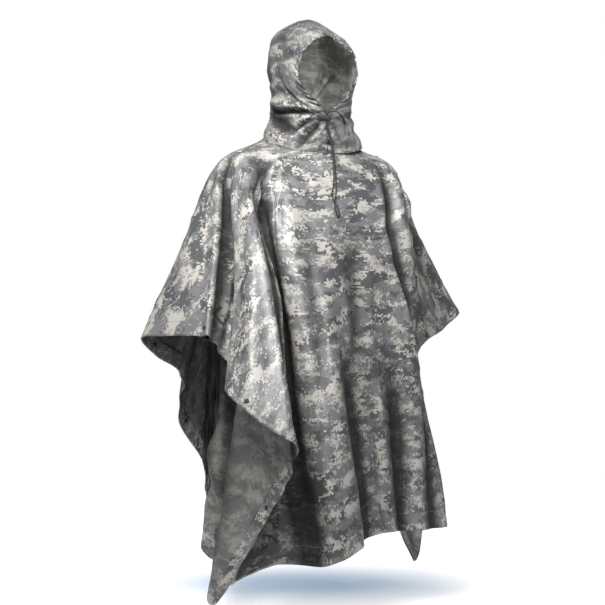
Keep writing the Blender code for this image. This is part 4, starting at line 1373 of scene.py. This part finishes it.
class PONCHO_OT_drawcord(bpy.types.Operator):
    """The drawcord's two strands, the lock on them and the end that joins them"""

    bl_idname = "poncho.drawcord"
    bl_label = "Drawcord"

    def execute(self, context):
        diameter = context.scene.poncho_trim.cord_diameter
        lock = Vector(LOCK_CENTRE)
        half_height = Vector((0, 0, LOCK_SIZE[2] / 2))
        top = Vector(CORD_END_TOP)
        tip = Vector(CORD_END_TIP)
        along = (top - tip).normalized()
        drop = Vector((0, 0, 2 * diameter))
        sides = (("right", -1, RIGHT_LEAD, RIGHT_HANG), ("left", 1, LEFT_LEAD, LEFT_HANG))
        cords = {}
        for name, side, lead, hang in sides:
            start = middle_of("eyelet_" + name)
            spread = Vector((side * STRAND_HALF_SPREAD, 0, 0))
            bore = lock + spread
            over = bore + half_height
            under = bore - half_height
            joined = top + spread * 0.6
            route = [
                start, start + (Vector(lead[0]) - start) * 0.3, *lead,
                over + drop * 0.7, over, bore, under, under - drop,
                *hang, joined + along * 2 * diameter, joined,
            ]
            line = cord_line(route)
            cords[name] = (cord_piece("cord_strand_" + name, line, diameter), start, line_length(line))
        across = Vector((-1, 0, 0))
        end = turned_piece("cord_end_barrel", CORD_END_PROFILE, top, tip - top)
        body = turned_piece("cord_lock_barrel", LOCK_PROFILE, lock - across * LOCK_SIZE[0] / 2, across)
        button = turned_piece("cord_lock_push", BUTTON_PROFILE, lock + across * BUTTON_AHEAD, across)
        for thing, node in ((end, "cord_end"), (body, "cord_lock"), (button, "cord_lock_button")):
            fitting(thing, node)
        for name, pieces in (("right", [end]), ("left", [body, button])):
            cord, start, length = cords[name]
            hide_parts("drawcord_" + name, "drawcord_%s_lead" % name)
        return {"FINISHED"}


class PONCHO_OT_eyelets(bpy.types.Operator):
    """The two eyelets in the hood where the drawcord leaves its casing"""

    bl_idname = "poncho.eyelets"
    bl_label = "Eyelets"

    def execute(self, context):
        stand = context.scene.poncho_cloth.thickness / 2
        for name in ("right", "left"):
            node = "eyelet_" + name
            cloth = CLOTHS["hood_" + name]
            i, j = cloth.nearest(middle_of(node))
            normal = cloth.normals()[i, j]
            start = cloth.points[i, j] + normal * stand
            fitting(turned_piece("eyelet_ring_" + name, EYELET_PROFILE, start, normal), node)
        return {"FINISHED"}


class PONCHO_OT_stitching(bpy.types.Operator):
    """Rows of stitches along the hems, the casing and the seams"""

    bl_idname = "poncho.stitching"
    bl_label = "Stitching"

    def execute(self, context):
        settings = context.scene.poncho_cloth
        trim = context.scene.poncho_trim
        face = settings.thickness / 2
        back = face + LAYER_GAP + settings.hem_thickness
        lines = []
        for name, cloth in CLOTHS.items():
            outside = cloth.moved(face + LAYER_GAP).points
            inside = cloth.moved(-back - LAYER_GAP).points
            if name in ("front", "back"):
                lines += [outside[:, -HEM_STEPS], inside[:, -HEM_STEPS], outside[:, 1]]
            else:
                casing = HOOD_CASING_STEPS - 1
                lines += [outside[casing], inside[casing], outside[:, 2], outside[:, -2]]
        mesh = lines_mesh("stitch_lines", lines)
        stitches = grown("stitching", mesh, stitch_tree(), "thread",
                         Length=trim.stitch_length, Pitch=trim.stitch_pitch)
        return {"FINISHED"}


class PONCHO_OT_stage(bpy.types.Operator):
    """A pale floor with a painted shadow under the poncho, soft lights and the camera"""

    bl_idname = "poncho.stage"
    bl_label = "Stage"

    def execute(self, context):
        settings = context.scene.poncho_stage
        right = Vector((math.cos(settings.bearing), math.sin(settings.bearing), 0))
        ahead = Vector((-math.sin(settings.bearing), math.cos(settings.bearing), 0))
        stand_camera(right, ahead, settings)
        lay_floor(settings)
        context.scene.world = studio_world()
        context.scene.view_settings.view_transform = "Standard"
        middle = Vector((0, 0, PONCHO_MIDDLE))
        for lamp in LAMPS:
            place = middle + ahead * lamp.ahead + right * lamp.right + Vector((0, 0, lamp.up))
            aim = Vector((0, 0, lamp.aim))
            area_light(lamp.name, place, aim, lamp.size, lamp.power, lamp.tint, lamp.beam)
        face = Vector(FACE_MIDDLE)
        area_light("hood", face, face + ahead - right * 0.5, (0.09, 0.12), FACE_LIGHT, WHITE[:3], 180)
        return {"FINISHED"}


class PONCHO_PT_panel(bpy.types.Panel):
    """The poncho's pieces and settings"""

    bl_idname = "PONCHO_PT_panel"
    bl_label = "Rain poncho"
    bl_space_type = "VIEW_3D"
    bl_region_type = "UI"
    bl_category = "Poncho"

    def draw(self, context):
        scene = context.scene
        for settings in (scene.poncho_cloth, scene.poncho_trim, scene.poncho_stage):
            box = self.layout.box()
            for key in settings.__annotations__:
                box.prop(settings, key)
        for name in STEPS:
            self.layout.operator("poncho." + name)


STEPS = ("stage", "body", "hood", "drawcord", "eyelets", "snaps", "stitching")
CLASSES = (
    ClothSettings, TrimSettings, StageSettings, PONCHO_OT_stage, PONCHO_OT_body, PONCHO_OT_hood,
    PONCHO_OT_drawcord, PONCHO_OT_eyelets, PONCHO_OT_snaps, PONCHO_OT_stitching, PONCHO_PT_panel,
)


def register():
    for cls in CLASSES:
        bpy.utils.register_class(cls)
    bpy.types.Scene.poncho_cloth = PointerProperty(type=ClothSettings)
    bpy.types.Scene.poncho_trim = PointerProperty(type=TrimSettings)
    bpy.types.Scene.poncho_stage = PointerProperty(type=StageSettings)


def unregister():
    del bpy.types.Scene.poncho_stage
    del bpy.types.Scene.poncho_trim
    del bpy.types.Scene.poncho_cloth
    for cls in reversed(CLASSES):
        bpy.utils.unregister_class(cls)


def main():
    register()
    for name in STEPS:
        getattr(bpy.ops.poncho, name)()


if __name__ == "__main__":
    main()
